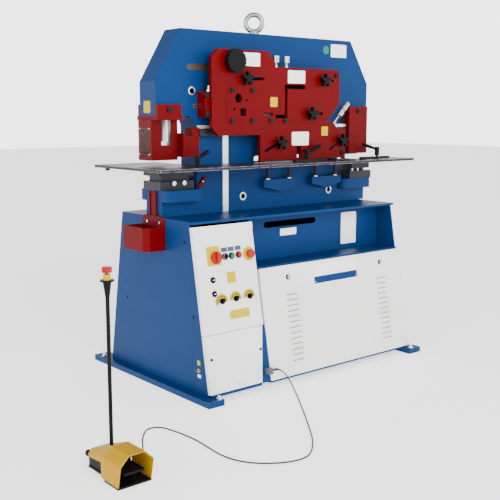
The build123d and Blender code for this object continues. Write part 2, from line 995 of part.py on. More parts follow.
# Red shear plate with its apertures and knob slots, welded to spacer blocks
shear_outline = (
    (plate_foot_left, plate_bottom), (plate_right, plate_bottom), (plate_right, plate_shoulder),
    (plate_screw_x + plate_screw_chamfer, plate_shoulder),
    (plate_screw_x, plate_shoulder + plate_screw_chamfer),
    (plate_cut_x, plate_shoulder + plate_screw_chamfer),
    (plate_edge_right, plate_cut_high), (plate_edge_right, plate_top_right),
    (plate_step_x, plate_top_right), (plate_step_x, plate_top_right + plate_chamfer / 2),
    (plate_step_x - plate_chamfer, plate_top_left), (plate_left + plate_chamfer, plate_top_left),
    (plate_left, plate_top_left - plate_chamfer), (plate_left, plate_waist + plate_chamfer),
    (plate_left + plate_chamfer, plate_waist), (plate_foot_left, plate_waist),
)
with BuildPart() as shear_plate:
    prism_y(shear_outline, plate_front, plate_back)
    upright_edges = shear_plate.edges().filter_by(Axis.Y)
    fillet(upright_edges.sort_by_distance((plate_edge_right, plate_front, plate_top_right))[0], plate_corner)
    for x, z, wide, high in spacer_places:
        block((x - wide / 2, x + wide / 2), (plate_back, -front_half), (z - high / 2, z + high / 2))
    cut = (plate_front - overrun, plate_back + overrun)
    block((insert_left, insert_right), cut, (insert_bottom, insert_top), Mode.SUBTRACT)
    block(
        (angle_slot_x - angle_slot_wide / 2, angle_slot_x + angle_slot_wide / 2), cut,
        (angle_slot_bottom, angle_slot_top), Mode.SUBTRACT,
    )
    block(
        (angle_slot_foot, angle_slot_x), cut,
        (angle_slot_bottom, angle_slot_bottom + angle_slot_wide), Mode.SUBTRACT,
    )
    block((bar_slot_left, bar_slot_right), cut, (bar_slot_bottom, bar_slot_top), Mode.SUBTRACT)
    block((rest_slot_left, rest_slot_right), cut, (rest_slot_bottom, rest_slot_top), Mode.SUBTRACT)
    block(
        (hold_slot_x - hold_slot_wide / 2, hold_slot_x + hold_slot_wide / 2), cut,
        (hold_slot_bottom, hold_slot_top), Mode.SUBTRACT,
    )
    block(
        (flat_slot_left, flat_slot_right), cut, (plate_bottom - overrun, plate_bottom + flat_feed),
        Mode.SUBTRACT,
    )
    for start, end in zip(knob_places, knob_slot_ends):
        slot_y(start, end, knob_slot_wide, *cut)
    rod_y(*wheel_place, wheel_shaft + running_gap * 2, *cut, Mode.SUBTRACT)
    for x in screw_places_x:
        rod_z(
            x, (plate_front + plate_back) / 2, screw_dia + running_gap * 2,
            plate_top_right - screw_deep, plate_top_right + overrun, Mode.SUBTRACT,
        )
    with BuildSketch(slant_plane.offset(overrun)) as slant_hole:
        Circle(screw_dia / 2 + running_gap)
    extrude(slant_hole.sketch, amount=-screw_deep - overrun, mode=Mode.SUBTRACT)
save(shear_plate, "shear_plate")

with BuildPart() as bar_insert:
    insert_span = (plate_front - insert_proud, plate_back)
    insert_cut = (plate_front - insert_proud - overrun, plate_back + overrun)
    block((insert_left, insert_right), insert_span, (insert_bottom, insert_top))
    rod_y(*round_place, round_dia, *insert_cut, Mode.SUBTRACT)
    for place in small_hole_places:
        rod_y(*place, small_hole, *insert_cut, Mode.SUBTRACT)
    block(
        (square_place[0] - square_side / 2, square_place[0] + square_side / 2), insert_cut,
        (square_place[1] - square_side / 2, square_place[1] + square_side / 2), Mode.SUBTRACT,
    )
save(bar_insert, "bar_insert")


def cap_screw(x, z, face):
    """A socket head screw whose head stands on a face that looks to the front."""
    rod_y(x, z, cap_head, face - cap_head_proud, face)
    rod_y(x, z, cap_socket, face - cap_head_proud - overrun, face - cap_head_proud / 2, Mode.SUBTRACT)


# Star knobs, each with its stud through a slot of the plate
for index, place in enumerate(knob_places):
    with BuildPart() as star_knob:
        knob_face = plate_front - part_gap
        rod_y(*place, knob_hub, knob_face - knob_hub_high, knob_face)
        with BuildSketch(Plane.XZ.offset(-knob_face + knob_hub_high)) as star:
            with Locations(place):
                Circle(knob_hub * knob_core_share)
                with PolarLocations(knob_dia / 2 - knob_lobe / 2, knob_lobes, start_angle=knob_turn):
                    Circle(knob_lobe / 2)
                with PolarLocations(knob_dia / 4 - knob_lobe / 4, knob_lobes, start_angle=knob_turn):
                    Rectangle(knob_dia / 2 - knob_lobe / 2, knob_lobe * knob_arm_share)
        extrude(star.sketch, amount=knob_thick)
        rod_y(*place, knob_stud, knob_face, plate_back + knob_stud_long)
        rod_y(*place, knob_nut, plate_back + part_gap, plate_back + part_gap + knob_nut_thick)
    save(star_knob, f"star_knob_{index + 1}")

with BuildPart() as handwheel:
    wheel_face = plate_front - part_gap
    rod_y(*wheel_place, wheel_hub, wheel_face - wheel_hub_high, wheel_face)
    rod_y(
        *wheel_place, wheel_dia, wheel_face - wheel_hub_high - wheel_thick, wheel_face - wheel_hub_high
    )
    with BuildSketch(Plane.XZ.offset(-wheel_face + wheel_hub_high)) as grips:
        with Locations(wheel_place):
            with PolarLocations(wheel_dia / 2 + wheel_grip_dia / 4, wheel_grip_count):
                Circle(wheel_grip_dia / 2)
    extrude(grips.sketch, amount=wheel_thick, mode=Mode.SUBTRACT)
    rod_y(*wheel_place, wheel_shaft, wheel_face, plate_back + knob_nut_thick)
save(handwheel, "handwheel")


def hold_screw(plane, head_high, neck_high):
    """A knurled screw that stands on a plane, with its shank sunk below it."""
    profile = (
        (0, -screw_deep + part_gap), (screw_dia / 2, -screw_deep + part_gap), (screw_dia / 2, part_gap),
        (screw_neck / 2, part_gap), (screw_neck / 2, neck_high / 3), (screw_dia / 2, neck_high / 3),
        (screw_dia / 2, neck_high), (screw_head / 2, neck_high), (screw_head / 2, neck_high + head_high / 3),
        (screw_head / 2 - head_groove, neck_high + head_high / 3),
        (screw_head / 2 - head_groove, neck_high + head_high / 2),
        (screw_head / 2, neck_high + head_high / 2), (screw_head / 2, neck_high + head_high),
        (0, neck_high + head_high),
    )
    with BuildSketch(Plane(plane.origin, x_dir=plane.x_dir, z_dir=-plane.y_dir)) as section:
        with BuildLine():
            Polyline(*profile, close=True)
        make_face()
    revolve(section.sketch, Axis(plane.origin, plane.z_dir))


for index, x in enumerate(screw_places_x):
    with BuildPart() as top_screw:
        hold_screw(
            Plane((x, (plate_front + plate_back) / 2, plate_top_right)), screw_head_high, screw_neck_high
        )
    save(top_screw, f"hold_screw_{index + 1}")

with BuildPart() as slant_screw:
    hold_screw(slant_plane, screw_long_head_high, screw_long_neck_high)
save(slant_screw, "hold_screw_3")

# Moving shear beam with its rod, the notching ram and the two cylinders
beam_half = inner_half - beam_gap
with BuildPart() as shear_beam:
    prism_y(
        (
            (beam_left, beam_bottom), (beam_right, beam_bottom), (beam_right, beam_arm_bottom),
            (beam_arm_right, beam_arm_bottom), (beam_arm_right, beam_arm_top), (beam_right, beam_arm_top),
            (beam_right, beam_top), (beam_left, beam_top),
        ),
        -beam_half, beam_half,
    )
    beam_cut = (-beam_half - overrun, beam_half + overrun)
    rod_y(*round_place, round_dia + stock_gap, *beam_cut, Mode.SUBTRACT)
    square_half = square_side / 2 + stock_gap
    block(
        (square_place[0] - square_half, square_place[0] + square_half), beam_cut,
        (square_place[1] - square_half, square_place[1] + square_half), Mode.SUBTRACT,
    )
    angle_half = angle_slot_wide / 2 + stock_gap
    block(
        (angle_slot_x - angle_half, angle_slot_x + angle_half), beam_cut,
        (angle_slot_bottom - stock_gap, angle_slot_top + stock_gap), Mode.SUBTRACT,
    )
    block(
        (angle_slot_foot - stock_gap, angle_slot_x), beam_cut,
        (angle_slot_bottom - stock_gap, angle_slot_bottom + angle_slot_wide + stock_gap), Mode.SUBTRACT,
    )
    rod_z(shear_cylinder_x, 0, shear_rod_dia, beam_top, shear_rod_top)
save(shear_beam, "shear_beam")

with BuildPart() as notch_ram:
    block(
        (notch_left, notch_right), (-notch_deep / 2, notch_deep / 2), (notch_bottom, beam_arm_bottom)
    )
save(notch_ram, "notch_ram")


def cylinder_body(x, rod_dia, bottom, top):
    """A cylinder with a bore for its rod, on a flange that spans the frame plates."""
    rod_z(x, 0, cylinder_dia, bottom, top)
    block(
        (x - cylinder_dia / 2 - cylinder_wall, x + cylinder_dia / 2 + cylinder_wall),
        (-inner_half, inner_half), (bottom, bottom + cylinder_wall * 2),
    )
    rod_z(x, 0, rod_dia + running_gap * 2, bottom - overrun, top - cylinder_wall, Mode.SUBTRACT)


with BuildPart() as cylinders:
    cylinder_body(punch_x, punch_ram_dia, punch_cylinder_bottom, punch_cylinder_top)
    shear_cylinder_top = head_top - closer - cylinder_top_gap
    cylinder_body(shear_cylinder_x, shear_rod_dia, shear_cylinder_bottom, shear_cylinder_top)
save(cylinders, "cylinders")

# Punch station: ram, bracket, guard, window, stripper and die
flange_under = arm_under - flange_thick
with BuildPart() as punch_ram:
    rod_z(punch_x, 0, punch_ram_dia, punch_nut_top, punch_ram_top)
    nut_z(punch_x, 0, punch_nut_dia, punch_nut_bottom, punch_nut_top)
    rod_z(punch_x, 0, punch_tool_dia, punch_tool_bottom, punch_nut_bottom)
save(punch_ram, "punch_ram")

with BuildPart() as ram_bracket:
    cheek_half = front_half + cheek_thick
    block((head_left, cheek_right), (-cheek_half, -front_half), (flange_under, cheek_top))
    block((head_left, cheek_right), (front_half, cheek_half), (flange_under, cheek_top))
    block(
        (head_left - flange_over, cheek_right + flange_over),
        (-cheek_half - flange_over, cheek_half + flange_over), (flange_under, arm_under),
    )
    rod_z(punch_x, 0, punch_ram_dia + stock_gap, flange_under - overrun, arm_under + overrun, Mode.SUBTRACT)
save(ram_bracket, "ram_bracket")

with BuildPart() as punch_guard:
    block((guard_left, guard_right), (-guard_half, guard_half), (guard_bottom, flange_under))
    block(
        (guard_left + guard_sheet, guard_right + overrun),
        (-guard_half + guard_sheet, guard_half - guard_sheet),
        (guard_bottom - overrun, flange_under + overrun), Mode.SUBTRACT,
    )
    block(
        (guard_left - overrun, guard_left + guard_sheet + overrun), (-guard_window_half, guard_window_half),
        (guard_window_bottom, guard_window_top), Mode.SUBTRACT,
    )
    block(
        (guard_slot_left, guard_slot_right), (-guard_half - overrun, -guard_half + guard_sheet + overrun),
        (guard_slot_bottom, flange_under + overrun), Mode.SUBTRACT,
    )
save(punch_guard, "punch_guard")

with BuildPart() as guard_window:
    block(
        (guard_left - window_thick, guard_left),
        (-guard_window_half - window_lap, guard_window_half + window_lap),
        (guard_window_bottom - window_lap, guard_window_top + window_lap),
    )
save(guard_window, "guard_window")

with BuildPart() as stripper:
    prism_y(
        (
            (stripper_left, stripper_bottom), (throat_left, stripper_bottom), (throat_left, stripper_top),
            (stripper_notch_right, stripper_top), (stripper_notch_right, stripper_notch_bottom),
            (stripper_notch_left, stripper_notch_bottom), (stripper_left, stripper_top - stripper_step),
        ),
        stripper_front, stripper_back,
    )
    for share in stripper_groove_shares:
        height = stripper_bottom + (stripper_top - stripper_bottom) * share
        block(
            (stripper_left - overrun, throat_left + overrun),
            (stripper_front - overrun, stripper_front + stripper_groove),
            (height - stripper_groove / 2, height + stripper_groove / 2), Mode.SUBTRACT,
        )
save(stripper, "stripper")

with BuildPart() as die_holder:
    block((die_left, die_right), (-die_half, die_half), (bolster_top, die_base_top))
    block(
        (die_left + die_neck_inset, die_right - die_neck_inset),
        (-die_half + die_neck_inset, die_half - die_neck_inset), (die_base_top, die_neck_top),
    )
    block((die_left, die_right), (-die_half, die_half), (die_neck_top, table_under))
    rod_z(punch_x, 0, die_button_dia, table_under, die_button_top)
    rod_z(punch_x, 0, slug_hole, bolster_top - overrun, die_neck_top, Mode.SUBTRACT)
    rod_z(punch_x, 0, die_bore, bolster_top, die_button_top + overrun, Mode.SUBTRACT)
save(die_holder, "die_holder")

# Blue brackets on the frame: two bolsters on the lower arms and two table brackets
with BuildPart() as support_brackets:
    block((body_left, throat_left - bolster_inset), (-bolster_half, bolster_half), (arm_top, bolster_top))
    chamfer(support_brackets.edges().filter_by(Axis.Z).group_by(Axis.X)[0], bolster_chamfer)
    rod_z(punch_x, 0, slug_hole, arm_top - overrun, bolster_top + overrun, Mode.SUBTRACT)
    with BuildSketch(Plane.XY.offset(arm_top)) as right_bolster:
        with Locations(((notch_bolster_left + notch_bolster_right) / 2, 0)):
            RectangleRounded(
                notch_bolster_right - notch_bolster_left, notch_bolster_half * 2, notch_bolster_round
            )
    extrude(right_bolster.sketch, amount=bolster_top - arm_top)
    for left in bracket_lefts:
        prism_y(
            (
                (left, bracket_mid), (left + bracket_wide * bracket_taper_share, bracket_bottom),
                (left + bracket_wide, bracket_mid), (left + bracket_wide, bracket_top), (left, bracket_top),
            ),
            bracket_front, -front_half,
        )
save(support_brackets, "support_brackets")

# Slug chute on the left end of the frame, and the bin on the cabinet wall below it
with BuildPart() as slug_chute:
    block((body_left - chute_thick, body_left), (-chute_half, chute_half), (cabinet_top, chute_top))
    for edge in (-chute_half, chute_half - chute_thick):
        block(
            (body_left - chute_thick - chute_lip, body_left), (edge, edge + chute_thick),
            (cabinet_top, chute_top),
        )
    block(
        (body_left - chute_foot_long, body_left), (-chute_foot_half, chute_foot_half),
        (cabinet_top, cabinet_top + chute_thick),
    )
save(slug_chute, "slug_chute")

bin_outline = (
    (-half_width, -bin_front), (-bin_outer + bin_corner, -bin_front), (-bin_outer, -bin_front + bin_corner),
    (-bin_outer, bin_back), (-half_width, bin_back),
)
with BuildPart() as slug_bin:
    with BuildSketch(Plane.XY.offset(bin_bottom)) as bin_foot:
        with BuildLine():
            Polyline(*bin_outline, close=True)
        make_face()
    extrude(bin_foot.sketch, amount=bin_top - bin_bottom)
    offset(amount=-bin_sheet, openings=slug_bin.faces().sort_by(Axis.Z)[-1], kind=Kind.INTERSECTION)
    block((-half_width - bin_sheet, -half_width), (-bin_front, bin_back), (bin_top, cabinet_top))
save(slug_bin, "slug_bin")

# Notch station: guard and die
with BuildPart() as notch_guard:
    block(
        (notch_guard_left, notch_guard_right), (notch_guard_front, -front_half),
        (notch_guard_bottom, notch_guard_top),
    )
    block(
        (notch_guard_left + notch_guard_sheet, notch_guard_right - notch_guard_sheet),
        (notch_guard_front + notch_guard_sheet, -front_half + overrun),
        (notch_guard_bottom - overrun, notch_guard_top - notch_guard_sheet), Mode.SUBTRACT,
    )
    hole_pitch = (arm_under - notch_guard_bottom) / notch_hole_count
    for row in range(notch_hole_count):
        height = notch_guard_bottom + (row + 1 / 2) * hole_pitch
        block(
            (notch_guard_right - notch_guard_sheet - overrun, notch_guard_right + overrun),
            (notch_guard_front + notch_hole, notch_guard_front + notch_hole * 2),
            (height - notch_hole, height + notch_hole), Mode.SUBTRACT,
        )
save(notch_guard, "notch_guard")

with BuildPart() as notch_die:
    block((notch_die_left, notch_die_right), (-notch_die_half, notch_die_half), (bolster_top, notch_die_mid))
    block(
        (notch_die_left + notch_die_inset * 2, notch_die_right - notch_die_inset * 2),
        (-notch_die_half + notch_die_inset * 2, notch_die_half - notch_die_inset * 2),
        (notch_die_mid, notch_die_upper),
    )
    block(
        (notch_die_left + notch_die_inset, notch_die_right - notch_die_inset),
        (-notch_die_half, notch_die_half), (notch_die_upper, notch_die_top),
    )
    block(
        (notch_left - stock_gap, notch_right + stock_gap),
        (-notch_deep / 2 - stock_gap, notch_deep / 2 + stock_gap),
        (notch_bottom - beam_stroke - stock_gap, notch_die_top + overrun), Mode.SUBTRACT,
    )
save(notch_die, "notch_die")

# Bright fixings: levelling screws, panel and bin screws, locks, frame pins and die bolts
with BuildPart() as bright_fixings:
    for side in (-1, 1):
        for x, y in ((level_front_x, -level_front_y), (level_rear_x, level_rear_y)):
            nut_z(side * x, y, level_head, rail_thick, rail_thick + level_height)
            rod_z(side * x, y, level_screw, rail_thick + level_height, rail_thick + 2 * level_height)
    for place in cover_screw_places:
        on_front(place, cover_screw_dia, 0, cover_screw_proud)
    for x in lock_x:
        on_front((x, lock_height), lock_dia, 0, lock_proud)
    for x, z, diameter in pin_places:
        rod_y(x, z, diameter, -front_half - pin_proud, front_half + pin_proud)
        rod_y(
            x, z, diameter - pin_wall * 2, -front_half - pin_proud - overrun,
            front_half + pin_proud + overrun, Mode.SUBTRACT,
        )
    for share in notch_stud_shares:
        x = notch_die_left + (notch_die_right - notch_die_left) * share
        for y in (-notch_die_half + notch_die_inset, notch_die_half - notch_die_inset):
            rod_z(x, y, notch_stud_dia, notch_die_mid, notch_die_upper)
    for share in die_bolt_shares:
        x = die_left + (die_right - die_left) * share
        with BuildSketch(Plane.XZ.offset(die_half)) as bolt_head:
            with Locations((x, (bolster_top + die_base_top) / 2 + die_bolt_lift)):
                RegularPolygon(die_bolt_head / 2, 6)
        extrude(bolt_head.sketch, amount=die_bolt_proud)
    bin_screw_height = bin_top + (cabinet_top - bin_top) * bin_screw_rise_share
    for y in (-bin_front + bin_screw_inset, bin_back - bin_screw_inset):
        with BuildSketch(Plane.YZ.offset(-half_width - bin_sheet)) as bin_screw:
            with Locations((y, bin_screw_height)):
                Circle(bin_screw_dia / 2)
        extrude(bin_screw.sketch, amount=-cover_screw_proud)
save(bright_fixings, "bright_fixings")

# Work table with its die opening and stop slots, then its studs
with BuildPart() as work_table:
    with BuildSketch(Plane.XY.offset(table_under)) as table_outline:
        with BuildLine():
            Polyline(
                (table_left, -table_half), (table_right, -table_half), (table_right, table_notch_back),
                (table_notch_left, table_notch_back), (table_notch_left, table_leg_back),
                (throat_left - table_gap, table_leg_back), (throat_left - table_gap, table_half),
                (table_left, table_half), close=True,
            )
        make_face()
    extrude(table_outline.sketch, amount=table_thick)
    rod_z(punch_x, 0, die_button_dia + table_gap, table_under - overrun, table_top + overrun, Mode.SUBTRACT)
    for x, y in zip(lever_x, lever_y):
        with BuildSketch(Plane.XY.offset(table_under - overrun)) as stop_slot:
            with Locations((x, y - stop_travel / 2)):
                SlotCenterToCenter(stop_travel, lever_foot + part_gap * 2, rotation=90)
        extrude(stop_slot.sketch, amount=table_thick + overrun * 2, mode=Mode.SUBTRACT)
save(work_table, "work_table")

# Dark screws: socket head screws on the front, then the table's studs, nuts and knobs
with BuildPart() as dark_screws:
    for x, z in insert_screw_places:
        cap_screw(x, z, plate_front - insert_proud)
    for x, z in plate_screw_places:
        cap_screw(x, z, plate_front)
    for x, z in block_screw_places:
        cap_screw(x, z, plate_back)
    cap_screw((head_left + cheek_right) / 2, (arm_under + cheek_top) / 2, -front_half - cheek_thick)
    cap_screw((notch_guard_left + notch_guard_right) / 2, notch_guard_top - cap_head, notch_guard_front)
    for left in bracket_lefts:
        for share in stud_shares:
            x = left + bracket_wide * share
            rod_z(x, stud_y, stud_dia, bracket_top, table_under)
            rod_z(x, stud_y, stud_washer, bracket_top, bracket_top + stud_washer_high)
            for base in (bracket_top + stud_washer_high, table_under - stud_nut_high):
                nut_z(x, stud_y, stud_nut, base, base + stud_nut_high)
    for x, y in table_knob_places:
        rod_z(x, y, table_knob_dia, table_under - table_knob_high, table_under)
save(dark_screws, "dark_screws")

# Table stops, each with a clamp stud through its slot, and the clamp levers
stop_names = ("middle_stop", "right_stop")
for stop_name, left, x, y in zip(stop_names, stop_lefts, lever_x, lever_y):
    with BuildPart() as stop_bar:
        block(
            (left, left + stop_long), (y - stop_wide / 2, y + stop_wide / 2),
            (table_top, table_top + stop_thick),
        )
        rod_z(x, y, lever_foot, table_under - part_gap - stop_nut_high, table_top)
        nut_z(x, y, stop_nut, table_under - part_gap - stop_nut_high, table_under - part_gap)
        rod_z(
            x, y, lever_foot + running_gap * 2, table_top + stop_thick / 3,
            table_top + stop_thick + overrun, Mode.SUBTRACT,
        )
    save(stop_bar, stop_name)

lever_names = ("middle_lever", "right_lever", "left_lever")
lever_seats = (stop_thick, stop_thick, 0)
lever_feet = (table_top + stop_thick / 3, table_top + stop_thick / 3, table_under)
for lever_name, x, y, turn, seat, foot in zip(
    lever_names, lever_x, lever_y, lever_turn, lever_seats, lever_feet
):
    with BuildPart() as clamp_lever:
        base = table_top + seat + part_gap
        rod_z(x, y, lever_foot, foot + part_gap, base + lever_foot_high)
        rod_z(x, y, lever_post, base + lever_foot_high / 2, base + lever_post_high)
        reach = Vector(cos(radians(turn)), sin(radians(turn)), lever_arm_rise_share).normalized()
        root = Vector(x, y, base + lever_post_high - lever_arm)
        across = reach.cross(Vector(0, 0, 1))
        with BuildSketch(Plane(root, x_dir=across, z_dir=across.cross(reach))) as arm:
            with BuildLine():
                Polyline(
                    (0, 0), (lever_arm / 2, 0), (lever_arm / 2, lever_arm_long / 3),
                    (lever_ball / 2, lever_arm_long / 2), (lever_ball / 2, lever_arm_long),
                    (0, lever_arm_long), close=True,
                )
            make_face()
        revolve(arm.sketch, Axis(root, reach))
    save(clamp_lever, lever_name)

# Foot pedal: base with its switch box, hood, treadle and the post with the stop button
pedal_left = pedal_x - pedal_wide / 2
pedal_right = pedal_x + pedal_wide / 2
pedal_rear_left = pedal_x - pedal_rear_wide / 2
pedal_rear_right = pedal_x + pedal_rear_wide / 2
pedal_box_half = pedal_rear_wide / 2 - pedal_hood_sheet - part_gap
lug_inner = treadle_wide / 2 + part_gap
with BuildPart() as pedal_base:
    with BuildSketch() as base_outline:
        with BuildLine():
            Polyline(
                (pedal_left, pedal_front), (pedal_right, pedal_front), (pedal_right, pedal_hood_mid),
                (pedal_rear_right, pedal_side_back), (pedal_rear_right, pedal_back),
                (pedal_rear_left, pedal_back), (pedal_rear_left, pedal_side_back),
                (pedal_left, pedal_hood_mid), close=True,
            )
        make_face()
    extrude(base_outline.sketch, amount=pedal_base_thick)
    block(
        (pedal_x - pedal_box_half, pedal_x + pedal_box_half), (pedal_box_front, pedal_back),
        (pedal_base_thick, pedal_box_high),
    )
    rod_y(
        pedal_x - pedal_latch_side, pedal_latch_height, pedal_latch_dia, pedal_back,
        pedal_back + pedal_latch_long,
    )
    for side in (-1, 1):
        near = pedal_x + side * lug_inner
        far = pedal_x + side * (lug_inner + lug_thick)
        block(
            (min(near, far), max(near, far)),
            (treadle_pin_y - treadle_barrel, treadle_pin_y + treadle_barrel),
            (pedal_base_thick, treadle_height + treadle_barrel),
        )
    with BuildSketch(Plane.YZ.offset(pedal_left)) as pin_bore:
        with Locations((treadle_pin_y, treadle_height)):
            Circle(treadle_pin / 2 + running_gap)
    extrude(pin_bore.sketch, amount=pedal_wide, mode=Mode.SUBTRACT)
save(pedal_base, "pedal_base")


def hood_section(y, half, top, chamfer_size):
    """The six-sided section of the hood at a place along its length."""
    with BuildSketch(Plane.XZ.offset(-y)) as section:
        with BuildLine():
            Polyline(
                (pedal_x - half, pedal_base_thick), (pedal_x + half, pedal_base_thick),
                (pedal_x + half, top - chamfer_size), (pedal_x + half - chamfer_size, top),
                (pedal_x - half + chamfer_size, top), (pedal_x - half, top - chamfer_size), close=True,
            )
        make_face()
    return section.sketch


def hood_form(inset, front, mode=Mode.ADD):
    """The hood's whole form: straight at its mouth, lower and narrower to the rear."""
    middle = hood_section(pedal_hood_mid, pedal_wide / 2 - inset, pedal_hood_top - inset, pedal_hood_chamfer)
    rear = hood_section(
        pedal_back, pedal_rear_wide / 2 - inset, pedal_hood_rear - inset, pedal_hood_rear_chamfer
    )
    loft([middle, rear], mode=mode)
    extrude(middle, amount=pedal_hood_mid - front, mode=mode)


with BuildPart() as pedal_hood:
    mouth_front = pedal_front - pedal_hood_lean
    hood_form(0, mouth_front)
    hood_form(pedal_hood_sheet, mouth_front - overrun, Mode.SUBTRACT)
    shoulder = pedal_hood_top - pedal_hood_chamfer
    prism_x(
        (
            (pedal_front, pedal_base_thick), (mouth_front, shoulder), (mouth_front - overrun, shoulder),
            (mouth_front - overrun, pedal_base_thick),
        ),
        pedal_left - overrun, pedal_right + overrun, Mode.SUBTRACT,
    )
    prism_x(
        (
            (pedal_side_back, 0), (pedal_side_back, pedal_side_low),
            (pedal_back + overrun, pedal_side_rear_low), (pedal_back + overrun, 0),
        ),
        pedal_left - overrun, pedal_right + overrun, Mode.SUBTRACT,
    )
    rod_z(post_x, post_y, post_dia + part_gap * 2, pedal_box_high, pedal_hood_top + overrun, Mode.SUBTRACT)
save(pedal_hood, "pedal_hood")

with BuildPart() as treadle:
    block(
        (pedal_x - treadle_wide / 2, pedal_x + treadle_wide / 2),
        (treadle_pin_y - treadle_long, treadle_pin_y),
        (treadle_height - treadle_thick / 2, treadle_height + treadle_thick / 2),
    )
    for row in range(treadle_ribs):
        y = treadle_pin_y - treadle_long + (row + 1) * treadle_long / (treadle_ribs + 2)
        block(
            (pedal_x - treadle_wide / 2 + treadle_rib, pedal_x + treadle_wide / 2 - treadle_rib),
            (y - treadle_rib / 2, y + treadle_rib / 2),
            (treadle_height + treadle_thick / 2, treadle_height + treadle_thick / 2 + treadle_rib / 2),
        )
    with BuildSketch(Plane.YZ.offset(pedal_x - treadle_wide / 2)) as barrel:
        with Locations((treadle_pin_y, treadle_height)):
            Circle(treadle_barrel)
    extrude(barrel.sketch, amount=treadle_wide)
    with BuildSketch(Plane.YZ.offset(pedal_x - lug_inner - lug_thick)) as pin:
        with Locations((treadle_pin_y, treadle_height)):
            Circle(treadle_pin / 2)
    extrude(pin.sketch, amount=(lug_inner + lug_thick) * 2)
save(treadle, "treadle")

with BuildPart() as pedal_post:
    rod_z(post_x, post_y, post_dia, pedal_box_high, post_top)
    flange_base = post_top + holder_high
    ring_base = flange_base + holder_flange_thick
    stop_seat = ring_base + holder_ring_high
    with BuildSketch(Plane.XZ.offset(-post_y)) as holder:
        with BuildLine():
            Polyline(
                (post_x, post_top), (post_x + post_dia / 2, post_top),
                (post_x + holder_dia / 2, flange_base),
                (post_x + holder_flange / 2, flange_base), (post_x + holder_flange / 2, ring_base),
                (post_x + holder_ring / 2, ring_base), (post_x + holder_ring / 2, stop_seat),
                (post_x, stop_seat), close=True,
            )
        make_face()
    revolve(holder.sketch, Axis((post_x, post_y, 0), (0, 0, 1)))
    rod_z(post_x, post_y, post_stem_dia + part_gap * 2, flange_base, stop_seat + overrun, Mode.SUBTRACT)
save(pedal_post, "pedal_post")

with BuildPart() as post_estop:
    rod_z(post_x, post_y, post_stem_dia, stop_seat - post_stem_high, stop_seat + post_stem_high)
    head_base = stop_seat + post_stem_high
    rod_z(post_x, post_y, post_head_dia, head_base, head_base + post_head_high)
    fillet(post_estop.faces().sort_by(Axis.Z)[-1].edges(), panel_edge)
save(post_estop, "post_estop")

# Cable glands and the cable between them
with BuildPart() as cable_glands:
    front_outline(
        corners(
            gland_x - gland_wide / 2, gland_x + gland_wide / 2,
            gland_height - gland_high / 2, gland_height + gland_high / 2,
        ),
        -panel_sheet, gland_proud,
    )
    cable_end = cable_route[-1]
    with BuildSketch(Plane.YZ.offset(gland_x + gland_wide / 2)) as relief:
        with Locations(cable_end[1:]):
            Circle(gland_relief_dia / 2)
    extrude(relief.sketch, amount=cable_end[0] - gland_x - gland_wide / 2)
    with BuildSketch(Plane.YZ.offset(pedal_x + pedal_box_half)) as pedal_gland:
        with Locations(cable_route[0][1:]):
            Circle(pedal_gland_dia / 2)
    extrude(pedal_gland.sketch, amount=cable_route[0][0] - pedal_x - pedal_box_half)
save(cable_glands, "cable_glands")


def bend_radii(route):
    """The largest even bends that the runs of a route allow."""
    radii = []
    for before, corner, after in zip(route, route[1:], route[2:]):
        come = Vector(corner) - Vector(before)
        leave = Vector(after) - Vector(corner)
        turn = radians(come.get_angle(leave))
        radii.append(bend_share * min(come.length, leave.length) / tan(turn / 2))
    return radii


cable_radii = bend_radii(cable_route)
with BuildPart() as foot_cable:
    with BuildLine() as cable_path:
        FilletPolyline(*cable_route, radius=cable_radii)
    with BuildSketch(Plane(cable_route[0], z_dir=Vector(cable_route[1]) - Vector(cable_route[0]))):
        Circle(cable_dia / 2)
    sweep()
save(foot_cable, "foot_cable")
print("cable bend radii", [round(radius) for radius in cable_radii])
cable_length = sum(edge.length for edge in cable_path.edges())
print("cable length", round(cable_length), "volume", round(foot_cable.part.volume))
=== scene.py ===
from math import atan2, cos, hypot, pi, radians, sin, tan

import bmesh
import bpy
from mathutils import Matrix, Vector


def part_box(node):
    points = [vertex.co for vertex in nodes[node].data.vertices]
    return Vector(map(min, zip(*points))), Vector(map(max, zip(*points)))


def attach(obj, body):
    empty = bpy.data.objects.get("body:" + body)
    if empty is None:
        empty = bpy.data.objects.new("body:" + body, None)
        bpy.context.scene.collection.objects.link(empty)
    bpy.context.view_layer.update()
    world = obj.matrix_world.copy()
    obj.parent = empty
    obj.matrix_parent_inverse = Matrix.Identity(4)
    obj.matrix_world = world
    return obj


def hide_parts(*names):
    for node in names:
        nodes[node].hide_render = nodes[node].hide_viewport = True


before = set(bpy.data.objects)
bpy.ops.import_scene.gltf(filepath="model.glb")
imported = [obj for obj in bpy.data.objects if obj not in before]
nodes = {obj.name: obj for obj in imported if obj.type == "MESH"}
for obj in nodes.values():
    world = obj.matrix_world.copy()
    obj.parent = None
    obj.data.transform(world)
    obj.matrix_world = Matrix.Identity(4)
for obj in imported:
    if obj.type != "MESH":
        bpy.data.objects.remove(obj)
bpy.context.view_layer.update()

# Faces of the solids that the pieces sit on
shell_low, shell_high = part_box("cabinet_shell")
WALL_FACE = shell_low.x
PLATE_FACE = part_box("shear_plate")[0].y
FRAME_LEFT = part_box("front_plate")[0].x
FRAME_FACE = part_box("front_plate")[0].y
WINDOW_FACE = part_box("guard_window")[0].x
BAND_FACE = -0.227

# The cabinet's front leans back from its foot to its top
FRONT_FOOT = shell_low.z
FRONT_FOOT_Y = -0.503
FRONT_TOP_Y = -0.352
SLOPE = atan2(FRONT_TOP_Y - FRONT_FOOT_Y, shell_high.z - FRONT_FOOT)
FRONT_OUT = Vector((0, -cos(SLOPE), sin(SLOPE)))
FRONT_UP = Vector((0, sin(SLOPE), cos(SLOPE)))


